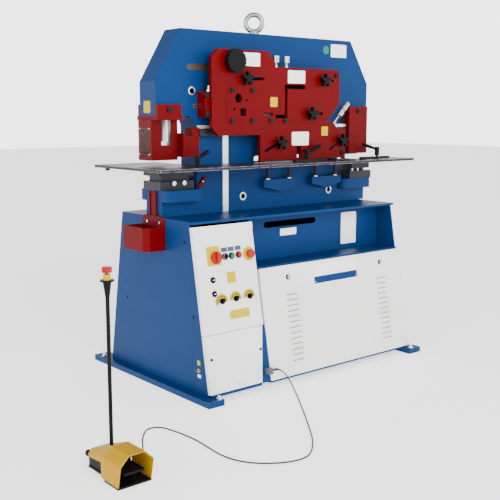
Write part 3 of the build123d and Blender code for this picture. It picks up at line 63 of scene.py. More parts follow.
def on_front(x, height):
    """A place on the sloping front."""
    return Vector((x, FRONT_FOOT_Y + (height - FRONT_FOOT) * tan(SLOPE), height))


# Materials

# Most values of a noise texture lie between these
NOISE_LOW = 0.3
NOISE_HIGH = 0.7
# Rounded normal against true normal, on an edge that is worn and carries a painted highlight, and on a
# whole face
EDGE_WORN_AND_LIT = 0.86
EDGE_WHOLE = 0.985
# Colour sockets of a Mix node
MIX_FIRST = 6
MIX_SECOND = 7
MIX_RESULT = 2


def shader(name):
    """A new material with its node tree, its main shader and its object coordinates."""
    material = bpy.data.materials.new(name)
    material.use_nodes = True
    tree = material.node_tree
    coords = tree.nodes.new("ShaderNodeTexCoord").outputs["Object"]
    return material, tree, tree.nodes["Principled BSDF"], coords


def noise(tree, coords, scale, detail, stretch=None):
    """A noise texture in the object's frame, stretched along an axis if asked."""
    texture = tree.nodes.new("ShaderNodeTexNoise")
    texture.inputs["Scale"].default_value = scale
    texture.inputs["Detail"].default_value = detail
    if stretch is not None:
        mapping = tree.nodes.new("ShaderNodeMapping")
        mapping.inputs["Scale"].default_value = stretch
        tree.links.new(coords, mapping.inputs["Vector"])
        coords = mapping.outputs["Vector"]
    tree.links.new(coords, texture.inputs["Vector"])
    return texture.outputs["Fac"]


def ramp(tree, source, stops):
    """A colour ramp over a source, with two stops as (place, colour)."""
    node = tree.nodes.new("ShaderNodeValToRGB")
    for element, (place, colour) in zip(node.color_ramp.elements, stops):
        element.position = place
        element.color = colour
    tree.links.new(source, node.inputs["Fac"])
    return node.outputs["Color"]


def drift(tree, source, dark, light):
    """A colour that wanders between two with a noise."""
    return ramp(tree, source, ((NOISE_LOW, dark), (NOISE_HIGH, light)))


def tint(colour, factor):
    """A colour made lighter or darker, as the four values of a socket."""
    return tuple(min(1.0, channel * factor) for channel in colour) + (1.0,)


def grey(value):
    """A grey, as the four values of a socket."""
    return (value, value, value, 1.0)


def roughen(tree, main, source, low, high):
    """Roughness of the main shader, from a source carried to a range."""
    node = tree.nodes.new("ShaderNodeMapRange")
    node.inputs["To Min"].default_value = low
    node.inputs["To Max"].default_value = high
    tree.links.new(source, node.inputs["Value"])
    tree.links.new(node.outputs["Result"], main.inputs["Roughness"])


def edge_mask(tree, coords, radius, low, high):
    """White along sharp edges, broken up by noise."""
    bevel = tree.nodes.new("ShaderNodeBevel")
    bevel.samples = 4
    bevel.inputs["Radius"].default_value = radius
    geometry = tree.nodes.new("ShaderNodeNewGeometry")
    dot = tree.nodes.new("ShaderNodeVectorMath")
    dot.operation = "DOT_PRODUCT"
    tree.links.new(bevel.outputs["Normal"], dot.inputs[0])
    tree.links.new(geometry.outputs["Normal"], dot.inputs[1])
    edge = ramp(tree, dot.outputs["Value"], ((EDGE_WORN_AND_LIT, grey(1.0)), (EDGE_WHOLE, grey(0.0))))
    patches = noise(tree, coords, scale=38.0, detail=6.0)
    broken = ramp(tree, patches, ((low, grey(0.0)), (high, grey(1.0))))
    mask = tree.nodes.new("ShaderNodeMath")
    mask.operation = "MULTIPLY"
    tree.links.new(edge, mask.inputs[0])
    tree.links.new(broken, mask.inputs[1])
    return mask.outputs[0]


def edge_wear_and_highlight(tree, main, mask, whole, worn_and_highlight):
    """Colour of the main shader: a source where it is whole, and along the edges one lighter colour that is
    partly wear and partly a painted highlight.
    """
    mix = tree.nodes.new("ShaderNodeMix")
    mix.data_type = "RGBA"
    tree.links.new(mask, mix.inputs["Factor"])
    tree.links.new(whole, mix.inputs[MIX_FIRST])
    mix.inputs[MIX_SECOND].default_value = worn_and_highlight
    tree.links.new(mix.outputs[MIX_RESULT], main.inputs["Base Color"])


def bump(tree, main, source, strength, distance):
    """Relief from a source on the main shader."""
    node = tree.nodes.new("ShaderNodeBump")
    node.inputs["Strength"].default_value = strength
    node.inputs["Distance"].default_value = distance
    tree.links.new(source, node.inputs["Height"])
    tree.links.new(node.outputs["Normal"], main.inputs["Normal"])


def enamel(name, colour, rough, worn_and_highlight, peel=420.0, relief=0.12, shine=0.12):
    """Sprayed enamel: cloudy colour, orange peel, faint dust, and edges rubbed thin and lightened with a
    painted highlight.
    """
    material, tree, main, coords = shader(name)
    clouds = noise(tree, coords, scale=3.2, detail=5.0)
    base = drift(tree, clouds, tint(colour, 0.93), tint(colour, 1.06))
    edge_wear_and_highlight(tree, main, edge_mask(tree, coords, radius=0.0025, low=0.45, high=0.62), base, worn_and_highlight)
    dust = noise(tree, coords, scale=14.0, detail=6.0)
    roughen(tree, main, dust, rough - 0.07, rough + 0.09)
    bump(tree, main, noise(tree, coords, scale=peel, detail=2.0), relief, distance=0.0006)
    main.inputs["Specular IOR Level"].default_value = shine
    return material


def steel(name, colour, rough, stretch, metallic=1.0, edge=0.002, glint=1.5):
    """Worked steel: fine lines along one way, smudges, and bright edges that are partly bare wear and
    partly a painted highlight.
    """
    material, tree, main, coords = shader(name)
    lines = noise(tree, coords, scale=60.0, detail=5.0, stretch=stretch)
    base = drift(tree, lines, tint(colour, 0.8), tint(colour, 1.15))
    mask = edge_mask(tree, coords, radius=edge, low=0.35, high=0.6)
    edge_wear_and_highlight(tree, main, mask, base, tint(colour, glint))
    smudges = noise(tree, coords, scale=9.0, detail=5.0)
    roughen(tree, main, smudges, rough - 0.1, rough + 0.12)
    bump(tree, main, lines, strength=0.1, distance=0.0004)
    main.inputs["Metallic"].default_value = metallic
    main.inputs["Specular IOR Level"].default_value = 0.2
    return material


def plastic(name, colour, rough, grain=700.0, relief=0.15, shine=0.2):
    """Moulded plastic: fine grain, slight colour drift, and softly shining edges painted as a highlight."""
    material, tree, main, coords = shader(name)
    clouds = noise(tree, coords, scale=22.0, detail=3.0)
    base = drift(tree, clouds, tint(colour, 0.88), tint(colour, 1.1))
    mask = edge_mask(tree, coords, radius=0.0015, low=0.4, high=0.62)
    # The edges are painted half again lighter: a painted highlight.
    edge_wear_and_highlight(tree, main, mask, base, tint(colour, 1.5))
    roughen(tree, main, clouds, rough - 0.06, rough + 0.08)
    bump(tree, main, noise(tree, coords, scale=grain, detail=2.0), relief, distance=0.0003)
    main.inputs["Specular IOR Level"].default_value = shine
    return material


def clear_sheet(name, dark, light, alpha):
    """Clear plastic sheet with faint scuffs."""
    material, tree, main, coords = shader(name)
    scuffs = noise(tree, coords, scale=120.0, detail=8.0, stretch=(1.0, 1.0, 0.2))
    roughen(tree, main, scuffs, 0.06, 0.12)
    tree.links.new(drift(tree, scuffs, dark, light), main.inputs["Base Color"])
    main.inputs["Alpha"].default_value = alpha
    main.inputs["Specular IOR Level"].default_value = 0.15
    main.inputs["IOR"].default_value = 1.49
    return material


def knurled(name, colour):
    """Plated steel with a diamond knurl all over."""
    material, tree, main, coords = shader(name)
    ridges = tree.nodes.new("ShaderNodeTexChecker")
    ridges.inputs["Scale"].default_value = 420.0
    turn = tree.nodes.new("ShaderNodeMapping")
    turn.inputs["Rotation"].default_value = (radians(35), radians(45), radians(45))
    tree.links.new(coords, turn.inputs["Vector"])
    tree.links.new(turn.outputs["Vector"], ridges.inputs["Vector"])
    smudges = noise(tree, coords, scale=40.0, detail=4.0)
    base = drift(tree, smudges, tint(colour, 0.85), tint(colour, 1.1))
    tree.links.new(base, main.inputs["Base Color"])
    roughen(tree, main, smudges, 0.18, 0.34)
    bump(tree, main, ridges.outputs["Fac"], strength=0.4, distance=0.0006)
    main.inputs["Metallic"].default_value = 1.0
    return material


# The worn colours of the enamels are lighter than the paint along the edges: partly rubbed wear, partly a
# painted highlight.
BLUE = enamel("blue_enamel", (0.0005, 0.027, 0.112), rough=0.42, worn_and_highlight=(0.010, 0.06, 0.18, 1.0), shine=0.09)
RED = enamel("red_enamel", (0.104, 0.0005, 0.0020), rough=0.38, worn_and_highlight=(0.19, 0.015, 0.015, 1.0), shine=0.06)
PALE = enamel(
    "pale_enamel", (0.80, 0.79, 0.78), rough=0.46, worn_and_highlight=(0.86, 0.86, 0.85, 1.0), peel=620.0, relief=0.2
)
YELLOW = enamel("yellow_enamel", (0.42, 0.235, 0.0002), rough=0.4, worn_and_highlight=(0.5, 0.32, 0.01, 1.0), shine=0.04)
SIGNAL = enamel("signal_yellow", (0.50, 0.37, 0.0003), rough=0.45, worn_and_highlight=(0.56, 0.44, 0.02, 1.0), shine=0.04)
WHITE = enamel("white_enamel", (0.92, 0.92, 0.91), rough=0.34, worn_and_highlight=(0.94, 0.94, 0.94, 1.0))
DARK = steel("blackened_steel", (0.010, 0.010, 0.012), rough=0.46, stretch=(1.0, 9.0, 9.0), metallic=0.35)
# The table's edges are painted sixteen times lighter than its steel: a painted highlight along its edges.
TABLE = steel(
    "table_steel", (0.022, 0.021, 0.025), rough=0.4, stretch=(1.0, 9.0, 9.0), metallic=0.45, edge=0.006,
    glint=16.0,
)
TOOL = steel("tool_steel", (0.028, 0.028, 0.033), rough=0.42, stretch=(6.0, 6.0, 1.0), metallic=0.6)
BRIGHT = steel("ground_steel", (0.78, 0.78, 0.79), rough=0.3, stretch=(9.0, 9.0, 0.6), metallic=0.7)
PLATED = steel("plated_steel", (0.66, 0.66, 0.67), rough=0.24, stretch=(4.0, 4.0, 4.0))
OILED = steel("oiled_steel", (0.085, 0.06, 0.045), rough=0.42, stretch=(0.6, 9.0, 9.0), metallic=0.6)
ZINC = steel("zinc_steel", (0.30, 0.31, 0.32), rough=0.34, stretch=(3.0, 3.0, 3.0))
BRASS = steel("brass", (0.62, 0.40, 0.12), rough=0.3, stretch=(4.0, 4.0, 4.0))
KNURL = knurled("knurled_steel", (0.48, 0.48, 0.49))
BLACK = plastic("black_plastic", (0.0032, 0.0032, 0.0036), rough=0.44, shine=0.09)
GREY = plastic("grey_plastic", (0.075, 0.085, 0.11), rough=0.5)
LEGEND = plastic("legend_plastic", (0.055, 0.062, 0.15), rough=0.45)
RED_CAP = plastic("red_plastic", (0.34, 0.003, 0.004), rough=0.3, relief=0.06)
GREEN_CAP = plastic("green_plastic", (0.006, 0.15, 0.09), rough=0.32, relief=0.06)
LENS = plastic("milk_lens", (0.88, 0.89, 0.89), rough=0.25, relief=0.04)
SHEATH = plastic("grey_sheath", (0.03, 0.03, 0.033), rough=0.5, grain=1200.0)
CLEAR = clear_sheet("clear_sheet", (0.22, 0.24, 0.25, 1.0), (0.32, 0.34, 0.35, 1.0), alpha=0.06)


# Finish of each solid

def numbered(stem, count):
    """The names of nodes that are numbered from 1."""
    return [f"{stem}_{number}" for number in range(1, count + 1)]


NODE_MATERIALS = {
    BLUE: [
        "floor_rails", "cabinet_shell", "front_band", "front_plate", "back_plate", "frame_closer",
        "support_brackets",
    ],
    PALE: ["front_panel", "lower_cover", "electric_door"],
    RED: [
        "shear_plate", "bar_insert", "ram_bracket", "punch_guard", "stripper", "slug_chute", "slug_bin",
        "notch_guard",
    ],
    TABLE: ["work_table"],
    DARK: ["middle_stop", "right_stop", "dark_screws"],
    TOOL: ["die_holder", "notch_die", "shear_beam", "notch_ram"],
    BRIGHT: ["guide_strips", "punch_ram", "cylinders"],
    PLATED: ["bright_fixings"],
    ZINC: ["lifting_eye"],
    KNURL: numbered("hold_screw", 3),
    BLACK: [
        "door_fittings", *numbered("star_knob", 5), "handwheel", *numbered("selector", 3), "middle_lever",
        "right_lever", "left_lever", "pedal_base", "treadle", "pedal_post",
    ],
    GREY: ["cable_glands", "inner_units"],
    RED_CAP: ["main_switch", "stop_button", "panel_estop", "post_estop"],
    GREEN_CAP: ["start_button"],
    YELLOW: ["pedal_hood"],
    CLEAR: ["guard_window"],
}
for material, names in NODE_MATERIALS.items():
    for name in names:
        mesh = nodes[name].data
        mesh.materials.clear()
        mesh.materials.append(material)
        for face in mesh.polygons:
            face.material_index = 0


def recolour(name, material, test):
    """Give another material to those faces of a node whose centres pass a test."""
    mesh = nodes[name].data
    mesh.materials.append(material)
    index = len(mesh.materials) - 1
    for face in mesh.polygons:
        if test(face.center):
            face.material_index = index


# Places on the sloping front, as x and height
LAMP = (-0.562, 0.699)
START = (-0.520, 0.699)
STOP = (-0.475, 0.700)
STOP_SHIELD = (-0.408, 0.698)
DOOR_LOCKS = ((-0.651, 0.593), (-0.651, 0.525))
PANEL_LOCKS = ((-0.161, 0.550), (0.562, 0.550))
SHIELD_REACH = 0.040
LOCK_REACH = 0.0145
LOCK_OFF = 0.001

# Limits of the stretches of a node that have a finish of their own
SWITCH_PLATE_RIGHT = -0.5925
SWITCH_PLATE_FOOT = 0.655
PLUG_RIGHT = -0.636
SCALES_TOP = 0.53
LEFT_STRIPS_RIGHT = -0.33
BLADE_BLOCK_FOOT = 1.287
BLADE_BLOCK_TOP = 1.326
SLOT_BAR_FOOT = 1.5
STOP_BOX_FOOT = 0.777
BRACKET_WASHER_TOP = 1.0465
FRONT_FIXINGS_BACK = -0.2
COVER_SCREW_FOOT = 0.15
COVER_SCREW_TOP = 0.6

# Hollow pins through the frame: x, height and radius of the bore
FRAME_PINS = ((-0.530, 1.519, 0.015), (-0.509, 1.443, 0.006), (-0.191, 0.956, 0.015), (0.471, 0.956, 0.015))
PIN_MARGIN = 0.001


def on_panel_lock(place):
    """Whether a place is on a lock that stands out of the front panel."""
    steps = [place - on_front(*lock) for lock in PANEL_LOCKS]
    return any(step.length < LOCK_REACH and step.dot(FRONT_OUT) > LOCK_OFF for step in steps)


def in_pin_bore_shade(place):
    """Whether a place is in the bore of a frame pin, which is painted dark as shade."""
    return any(hypot(place.x - x, place.z - height) < bore + PIN_MARGIN for x, height, bore in FRAME_PINS)


recolour("door_fittings", SIGNAL, lambda p: p.x < SWITCH_PLATE_RIGHT and p.z > SWITCH_PLATE_FOOT)
recolour("door_fittings", SIGNAL, lambda p: (p - on_front(*STOP_SHIELD)).length < SHIELD_REACH)
recolour("door_fittings", PALE, lambda p: p.x > PLUG_RIGHT and p.z < SCALES_TOP)
recolour("front_panel", BLACK, on_panel_lock)
recolour(
    "guide_strips", TOOL, lambda p: p.x < LEFT_STRIPS_RIGHT and BLADE_BLOCK_FOOT < p.z < BLADE_BLOCK_TOP
)
recolour("guide_strips", OILED, lambda p: p.x < LEFT_STRIPS_RIGHT and p.z > SLOT_BAR_FOOT)
# The bore of each hollow pin is painted dark: painted shade inside the hole.
recolour("bright_fixings", DARK, in_pin_bore_shade)
recolour("pedal_post", SIGNAL, lambda p: p.z > STOP_BOX_FOOT)
recolour("dark_screws", PLATED, lambda p: p.z < BRACKET_WASHER_TOP and p.y > FRONT_FIXINGS_BACK)
recolour(
    "bright_fixings", BLACK, lambda p: COVER_SCREW_FOOT < p.z < COVER_SCREW_TOP and p.y < FRONT_FIXINGS_BACK
)


# Helpers for the pieces that are added to the solids

def finish_piece(name, bm, material, body, bevel=0.0):
    """Turn a built mesh into a piece that rides on a body."""
    mesh = bpy.data.meshes.new(name)
    bmesh.ops.recalc_face_normals(bm, faces=bm.faces)
    bm.to_mesh(mesh)
    bm.free()
    piece = bpy.data.objects.new(name, mesh)
    bpy.context.collection.objects.link(piece)
    mesh.materials.append(material)
    if bevel:
        modifier = piece.modifiers.new("edges", "BEVEL")
        modifier.width = bevel
        modifier.segments = 2
        modifier.limit_method = "ANGLE"
    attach(piece, body)
    return piece


def upright(x, y, z):
    """A place on an upright face that looks to the front: local x to the right, y up, z out."""
    return Matrix(((1, 0, 0, x), (0, 0, -1, y), (0, 1, 0, z), (0, 0, 0, 1)))


def sloping(x, height):
    """A place on the sloping front: local x to the right, y up the slope, z out."""
    place = on_front(x, height)
    return Matrix((
        (1, 0, 0, place.x), (0, FRONT_UP.y, FRONT_OUT.y, place.y), (0, FRONT_UP.z, FRONT_OUT.z, place.z),
        (0, 0, 0, 1),
    ))


def sideways(x, y, z):
    """A place on a face that looks to the left: local x to the front, y up, z out."""
    return Matrix(((0, 0, -1, x), (-1, 0, 0, y), (0, 1, 0, z), (0, 0, 0, 1)))


def moved(place, x=0.0, y=0.0, out=0.0):
    """A place carried along its own axes."""
    return place @ Matrix.Translation((x, y, out))


def turned(place, angle):
    """A place turned about its outward axis."""
    return place @ Matrix.Rotation(angle, 4, "Z")


def rim(bm, place, outline, height):
    """New corners along an outline, at a height over a place."""
    return [bm.verts.new(place @ Vector((x, y, height))) for x, y in outline]


def bridge(bm, first, second):
    """Faces from one rim to the next."""
    count = len(first)
    for index in range(count):
        after = (index + 1) % count
        bm.faces.new((first[index], first[after], second[after], second[index]))


def prism(bm, place, outline, bottom, top):
    """An outline in a place's plane, carried from one height over it to another."""
    low = rim(bm, place, outline, bottom)
    high = rim(bm, place, outline, top)
    bm.faces.new(low)
    bm.faces.new(high)
    bridge(bm, low, high)


def rounded(width, height, radius, steps=5):
    """The outline of a rectangle with round corners, about its middle."""
    points = []
    for corner, (sx, sy) in enumerate(((1, 1), (-1, 1), (-1, -1), (1, -1))):
        for step in range(steps + 1):
            angle = pi / 2 * (corner + step / steps)
            points.append((
                sx * (width / 2 - radius) + radius * cos(angle),
                sy * (height / 2 - radius) + radius * sin(angle),
            ))
    return points


def arc(radius, start, end, count):
    """Points along an arc, from one angle to another."""
    angles = [start + (end - start) * index / (count - 1) for index in range(count)]
    return [(radius * cos(angle), radius * sin(angle)) for angle in angles]


def ring(radius, count):
    """Points round a whole circle."""
    return arc(radius, 0.0, 2 * pi, count + 1)[:-1]


def fan(inner, outer, start, end, count=25):
    """The outline of a band between two arcs."""
    return arc(outer, start, end, count) + arc(inner, end, start, count)


def dome(bm, place, radius, base, rise, rows=4, count=16):
    """A low round head on a place."""
    rims = []
    for row in range(rows):
        angle = pi / 2 * row / rows
        rims.append(rim(bm, place, ring(radius * cos(angle), count), base + rise * sin(angle)))
    crown = bm.verts.new(place @ Vector((0, 0, base + rise)))
    bm.faces.new(rims[0])
    for lower, upper in zip(rims, rims[1:]):
        bridge(bm, lower, upper)
    for index in range(count):
        bm.faces.new((rims[-1][index], rims[-1][(index + 1) % count], crown))


def tube(bm, place, inner, outer, bottom, top, count=28):
    """A plain ring with a hole, on a place."""
    rims = [
        rim(bm, place, ring(radius, count), level)
        for radius, level in ((inner, bottom), (outer, bottom), (outer, top), (inner, top))
    ]
    for first, second in zip(rims, rims[1:] + rims[:1]):
        bridge(bm, first, second)


def stud(name, place, steps, material, bevel):
    """A stud of round and hexagonal steps, each with its radius, sides and top."""
    bm = bmesh.new()
    bottom = 0.0
    for radius, sides, top in steps:
        prism(bm, place, ring(radius, sides), bottom, top)
        bottom = top
    finish_piece(name, bm, material, "machine", bevel)


# Plain riveted plates and stuck-on fields of colour

PLATE_THICK = 0.0012
PLATE_BEVEL = 0.0003
PLATE_ROUND_SHARE = 0.06
RIVET_INSET_SHARE = 0.1
RIVET_RADIUS = 0.0028
RIVET_RISE = 0.0014
FIELD_THICK = 0.0006
FIELD_ROUND_SHARE = 0.12


def bare_plate(name, place, width, height, material, body):
    """A plain riveted plate with round corners."""
    short = min(width, height)
    bm = bmesh.new()
    prism(bm, place, rounded(width, height, short * PLATE_ROUND_SHARE), 0.0, PLATE_THICK)
    finish_piece(name, bm, material, body, PLATE_BEVEL)
    bm = bmesh.new()
    inset = short * RIVET_INSET_SHARE
    for sx in (-1, 1):
        for sy in (-1, 1):
            spot = moved(place, sx * (width / 2 - inset), sy * (height / 2 - inset))
            dome(bm, spot, RIVET_RADIUS, PLATE_THICK, RIVET_RISE)
    finish_piece(name + "_rivets", bm, PLATED, body)


def bare_field(name, place, width, height, material, body):
    """A plain stuck-on field of colour."""
    bm = bmesh.new()
    prism(bm, place, rounded(width, height, min(width, height) * FIELD_ROUND_SHARE), 0.0, FIELD_THICK)
    finish_piece(name, bm, material, body)


PANEL_PLATE_X = 0.196
PANEL_PLATE_WIDE = 0.334
# Name, place, width and height of each
WHITE_PLATES = (
    ("plate_upper_left", upright(-0.2045, PLATE_FACE, 1.6855), 0.123, 0.069),
    ("plate_upper_right", upright(0.1235, PLATE_FACE, 1.604), 0.129, 0.070),
    ("plate_lower", upright(0.1565, PLATE_FACE, 1.2655), 0.129, 0.075),
    ("plate_frame", upright(0.541, FRAME_FACE, 1.768), 0.128, 0.074),
    ("plate_panel", sloping(PANEL_PLATE_X, 0.541), PANEL_PLATE_WIDE, 0.104),
    ("plate_band", upright(0.488, BAND_FACE, 0.740), 0.126, 0.186),
)
# Name, place, side and body of each
SIGNAL_FIELDS = (
    ("field_plate_left", upright(-0.042, PLATE_FACE, 1.466), 0.052, "machine"),
    ("field_plate_right", upright(0.347, PLATE_FACE, 1.305), 0.052, "machine"),
    ("field_frame", sideways(FRAME_LEFT, 0.005, 1.436), 0.060, "machine"),
    ("field_door", sloping(-0.535, 0.594), 0.056, "door"),
)
for name, place, width, height in WHITE_PLATES:
    bare_plate(name, place, width, height, WHITE, "machine")
bare_plate("plate_door", sloping(-0.5075, 0.410), 0.127, 0.044, SIGNAL, "door")
bare_field("field_band", upright(0.008, BAND_FACE, 0.759), 0.120, 0.038, WHITE, "machine")
panel_stripe = moved(sloping(PANEL_PLATE_X, 0.509), out=PLATE_THICK)
bare_field("field_panel", panel_stripe, PANEL_PLATE_WIDE, 0.038, BLUE, "machine")
for name, place, side, body in SIGNAL_FIELDS:
    bare_field(name, place, side, side, SIGNAL, body)

# Legends over the lamp and the two buttons, and the lamp's lens
LEGEND_RISE = 0.034
LEGEND_WIDE = 0.038
LEGEND_HIGH = 0.022
for index, (x, height) in enumerate((LAMP, START, STOP)):
    place = sloping(x, height + LEGEND_RISE)
    bare_field(f"legend_{index + 1}", place, LEGEND_WIDE, LEGEND_HIGH, LEGEND, "door")
bm = bmesh.new()
dome(bm, sloping(*LAMP), radius=0.0125, base=0.007, rise=0.006, rows=6, count=28)
finish_piece("lamp_lens", bm, LENS, "door")

# Round field at the top of the frame
ROUND_FIELD_RADIUS = 0.024
bm = bmesh.new()
prism(bm, upright(0.437, FRAME_FACE, 1.769), ring(ROUND_FIELD_RADIUS, 32), 0.0, FIELD_THICK)
finish_piece("field_round", bm, GREEN_CAP, "machine")

# Scales behind the three selectors: a fan with plain tick marks
SCALES = ((-0.612, 0.485), (-0.525, 0.487), (-0.436, 0.488))
SCALE_OUT = 0.003
SCALE_INNER = 0.016
SCALE_OUTER = 0.0365
SCALE_START = radians(-12)
SCALE_END = radians(192)
TICK_COUNT = 11
TICK_START = radians(-4)
TICK_END = radians(184)
TICK_RADIUS = 0.029
TICK_LONG = 0.009
TICK_WIDE = 0.0024
TICK_ROUND = 0.0008
TICK_TOP = 0.0010
LINE_INNER = 0.0216
LINE_OUTER = 0.0242
for index, spot in enumerate(SCALES):
    place = moved(sloping(*spot), out=SCALE_OUT)
    bm = bmesh.new()
    prism(bm, place, fan(SCALE_INNER, SCALE_OUTER, SCALE_START, SCALE_END), 0.0, FIELD_THICK)
    finish_piece(f"scale_{index + 1}", bm, SIGNAL, "door")
    bm = bmesh.new()
    for tick in range(TICK_COUNT):
        angle = TICK_START + (TICK_END - TICK_START) * tick / (TICK_COUNT - 1)
        mark = moved(turned(place, angle), x=TICK_RADIUS)
        prism(bm, mark, rounded(TICK_LONG, TICK_WIDE, TICK_ROUND, 2), FIELD_THICK, TICK_TOP)
    prism(bm, place, fan(LINE_INNER, LINE_OUTER, TICK_START, TICK_END), FIELD_THICK, TICK_TOP)
    finish_piece(f"scale_ticks_{index + 1}", bm, BLACK, "door")

# Keys in the locks, and rings round those of the door
LOCK_PROUD = 0.005
KEY_ROUND = 0.0015
KEY_BEVEL = 0.0004
PANEL_KEY = rounded(0.017, 0.0045, KEY_ROUND, 3)
PANEL_KEY_HIGH = 0.0022
DOOR_KEY = rounded(0.013, 0.004, KEY_ROUND, 3)
DOOR_KEY_HIGH = 0.002
bm = bmesh.new()
for spot in PANEL_LOCKS:
    place = moved(sloping(*spot), out=LOCK_PROUD)
    prism(bm, place, PANEL_KEY, 0.0, PANEL_KEY_HIGH)
    prism(bm, turned(place, pi / 2), PANEL_KEY, 0.0, PANEL_KEY_HIGH)
finish_piece("panel_lock_keys", bm, PLATED, "machine", KEY_BEVEL)
bm = bmesh.new()
for spot in DOOR_LOCKS:
    prism(bm, moved(sloping(*spot), out=LOCK_PROUD), DOOR_KEY, 0.0, DOOR_KEY_HIGH)
finish_piece("door_lock_keys", bm, PLATED, "door", KEY_BEVEL)
bm = bmesh.new()
for spot in DOOR_LOCKS:
    tube(bm, sloping(*spot), inner=0.0125, outer=0.016, bottom=0.0, top=0.003)
finish_piece("door_lock_rings", bm, BLACK, "door", KEY_BEVEL)

# Black strips under the louvres of the front panel: painted shade where the slits open into the dark inside
LOUVRE_COLUMNS = (-0.146, 0.560)
LOUVRE_ROWS = 13
LOUVRE_LOWEST = 0.119
LOUVRE_HIGHEST = 0.464
SLIT_DROP = 0.0065
SLIT = rounded(0.080, 0.0036, 0.0017, 3)
SLIT_THICK = 0.0005
bm = bmesh.new()
for x in LOUVRE_COLUMNS:
    for row in range(LOUVRE_ROWS):
        height = LOUVRE_LOWEST + (LOUVRE_HIGHEST - LOUVRE_LOWEST) * row / (LOUVRE_ROWS - 1)
        prism(bm, sloping(x, height - SLIT_DROP), SLIT, 0.0, SLIT_THICK)
finish_piece("louvre_slit_shade", bm, BLACK, "machine")

# Folded sill of the cabinet, below the cover and below the front panel: left, right and top edge
SILLS = ((-0.732, -0.413, 0.0445), (-0.349, 0.732, 0.0385))
SILL_FRONT = 0.002
SILL_BACK = 0.045
SILL_SHEET = 0.003
SILL_BEVEL = 0.0006
along_sill = Matrix((
    (0, 0, 1, 0), (FRONT_OUT.y, FRONT_UP.y, 0, FRONT_FOOT_Y), (FRONT_OUT.z, FRONT_UP.z, 0, FRONT_FOOT),
    (0, 0, 0, 1),
))
bm = bmesh.new()
for left, right, edge in SILLS:
    rise = (edge - FRONT_FOOT) / cos(SLOPE)
    inside = SILL_FRONT + SILL_SHEET
    fold = (
        (-SILL_FRONT, 0.0), (-SILL_FRONT, rise), (-inside, rise), (-inside, SILL_SHEET),
        (-SILL_BACK, SILL_SHEET), (-SILL_BACK, 0.0),
    )
    prism(bm, along_sill, fold, left, right)
finish_piece("front_sill", bm, BLUE, "machine", SILL_BEVEL)

# Short red latch on the frame below the table, with its screw
LATCH_THICK = 0.010
latch = turned(upright(-0.471, FRAME_FACE, 1.047), radians(54.5))
bm = bmesh.new()
prism(bm, latch, rounded(width=0.069, height=0.022, radius=0.0105), 0.0, LATCH_THICK)
finish_piece("table_latch", bm, RED, "machine", bevel=0.0012)
bm = bmesh.new()
dome(bm, moved(latch, x=0.006), radius=0.006, base=LATCH_THICK, rise=0.004)
finish_piece("table_latch_screw", bm, PLATED, "machine")

# Screws that hold the clear window of the punch guard
WINDOW_SCREW_Y = (-0.044, 0.044)
WINDOW_SCREW_Z = (1.198, 1.328)
bm = bmesh.new()
for y in WINDOW_SCREW_Y:
    for z in WINDOW_SCREW_Z:
        dome(bm, sideways(WINDOW_FACE, y, z), radius=0.0042, base=0.0, rise=0.0026)
finish_piece("window_screws", bm, PLATED, "machine")

# Plugs, the earth stud and its two fields on the left wall of the cabinet
WALL_PLUGS = ((-0.290, 0.775), (-0.358, 0.411), (0.196, 0.775), (0.258, 0.411))
EARTH_STUD = ((0.010, 24, 0.002), (0.007, 6, 0.007), (0.0035, 16, 0.013))
bm = bmesh.new()
for y, z in WALL_PLUGS:
    dome(bm, sideways(WALL_FACE, y, z), radius=0.0085, base=0.0, rise=0.0025)
finish_piece("wall_plugs", bm, BLACK, "machine")
stud("earth_stud", sideways(WALL_FACE, -0.402, 0.149), EARTH_STUD, BRASS, bevel=0.0004)
over_stud = sideways(WALL_FACE, -0.400, 0.188)
bare_field("field_earth", over_stud, 0.024, 0.024, SIGNAL, "machine")
under_stud = sideways(WALL_FACE, -0.404, 0.121)
bare_field("field_earth_low", under_stud, 0.026, 0.016, WHITE, "machine")

# Stud and nut on top of the block at the left of the shear plate
BLOCK_STUD = ((0.011, 6, 0.009), (0.006, 20, 0.030))
stud("block_stud", Matrix.Translation((-0.463, -0.130, 1.515)), BLOCK_STUD, PLATED, bevel=0.0006)

# Foot cable: the route of the solid, as one smooth curve
CABLE_RADIUS = 0.0035
CABLE_ROUTE = (
    (-1.413, -0.838, 0.028), (-1.393, -0.838, 0.028), (-1.367, -0.831, 0.021), (-1.338, -0.810, 0.011),
    (-1.308, -0.773, 0.005), (-1.280, -0.730, 0.004), (-1.246, -0.672, 0.004), (-1.202, -0.617, 0.004),
    (-1.175, -0.590, 0.004), (-1.148, -0.580, 0.004), (-1.121, -0.586, 0.004), (-1.101, -0.605, 0.004),
    (-1.087, -0.648, 0.004), (-1.074, -0.728, 0.004), (-1.068, -0.822, 0.004), (-1.077, -0.915, 0.004),
    (-1.087, -1.005, 0.004), (-1.079, -1.088, 0.004), (-1.050, -1.152, 0.004), (-1.005, -1.203, 0.004),
    (-0.948, -1.242, 0.004), (-0.890, -1.264, 0.004), (-0.838, -1.268, 0.004), (-0.788, -1.248, 0.004),
    (-0.733, -1.203, 0.004), (-0.672, -1.140, 0.004), (-0.613, -1.063, 0.004), (-0.557, -0.988, 0.004),
    (-0.502, -0.913, 0.004), (-0.447, -0.837, 0.004), (-0.393, -0.761, 0.004), (-0.342, -0.688, 0.005),
    (-0.306, -0.633, 0.008), (-0.281, -0.589, 0.016), (-0.269, -0.557, 0.033), (-0.270, -0.532, 0.057),
    (-0.282, -0.516, 0.079), (-0.299, -0.509, 0.093), (-0.318, -0.507, 0.099), (-0.336, -0.507, 0.099),
)
line = bpy.data.curves.new("cable", "CURVE")
line.dimensions = "3D"
line.bevel_depth = CABLE_RADIUS
line.bevel_resolution = 5
spline = line.splines.new("NURBS")
spline.points.add(len(CABLE_ROUTE) - 1)
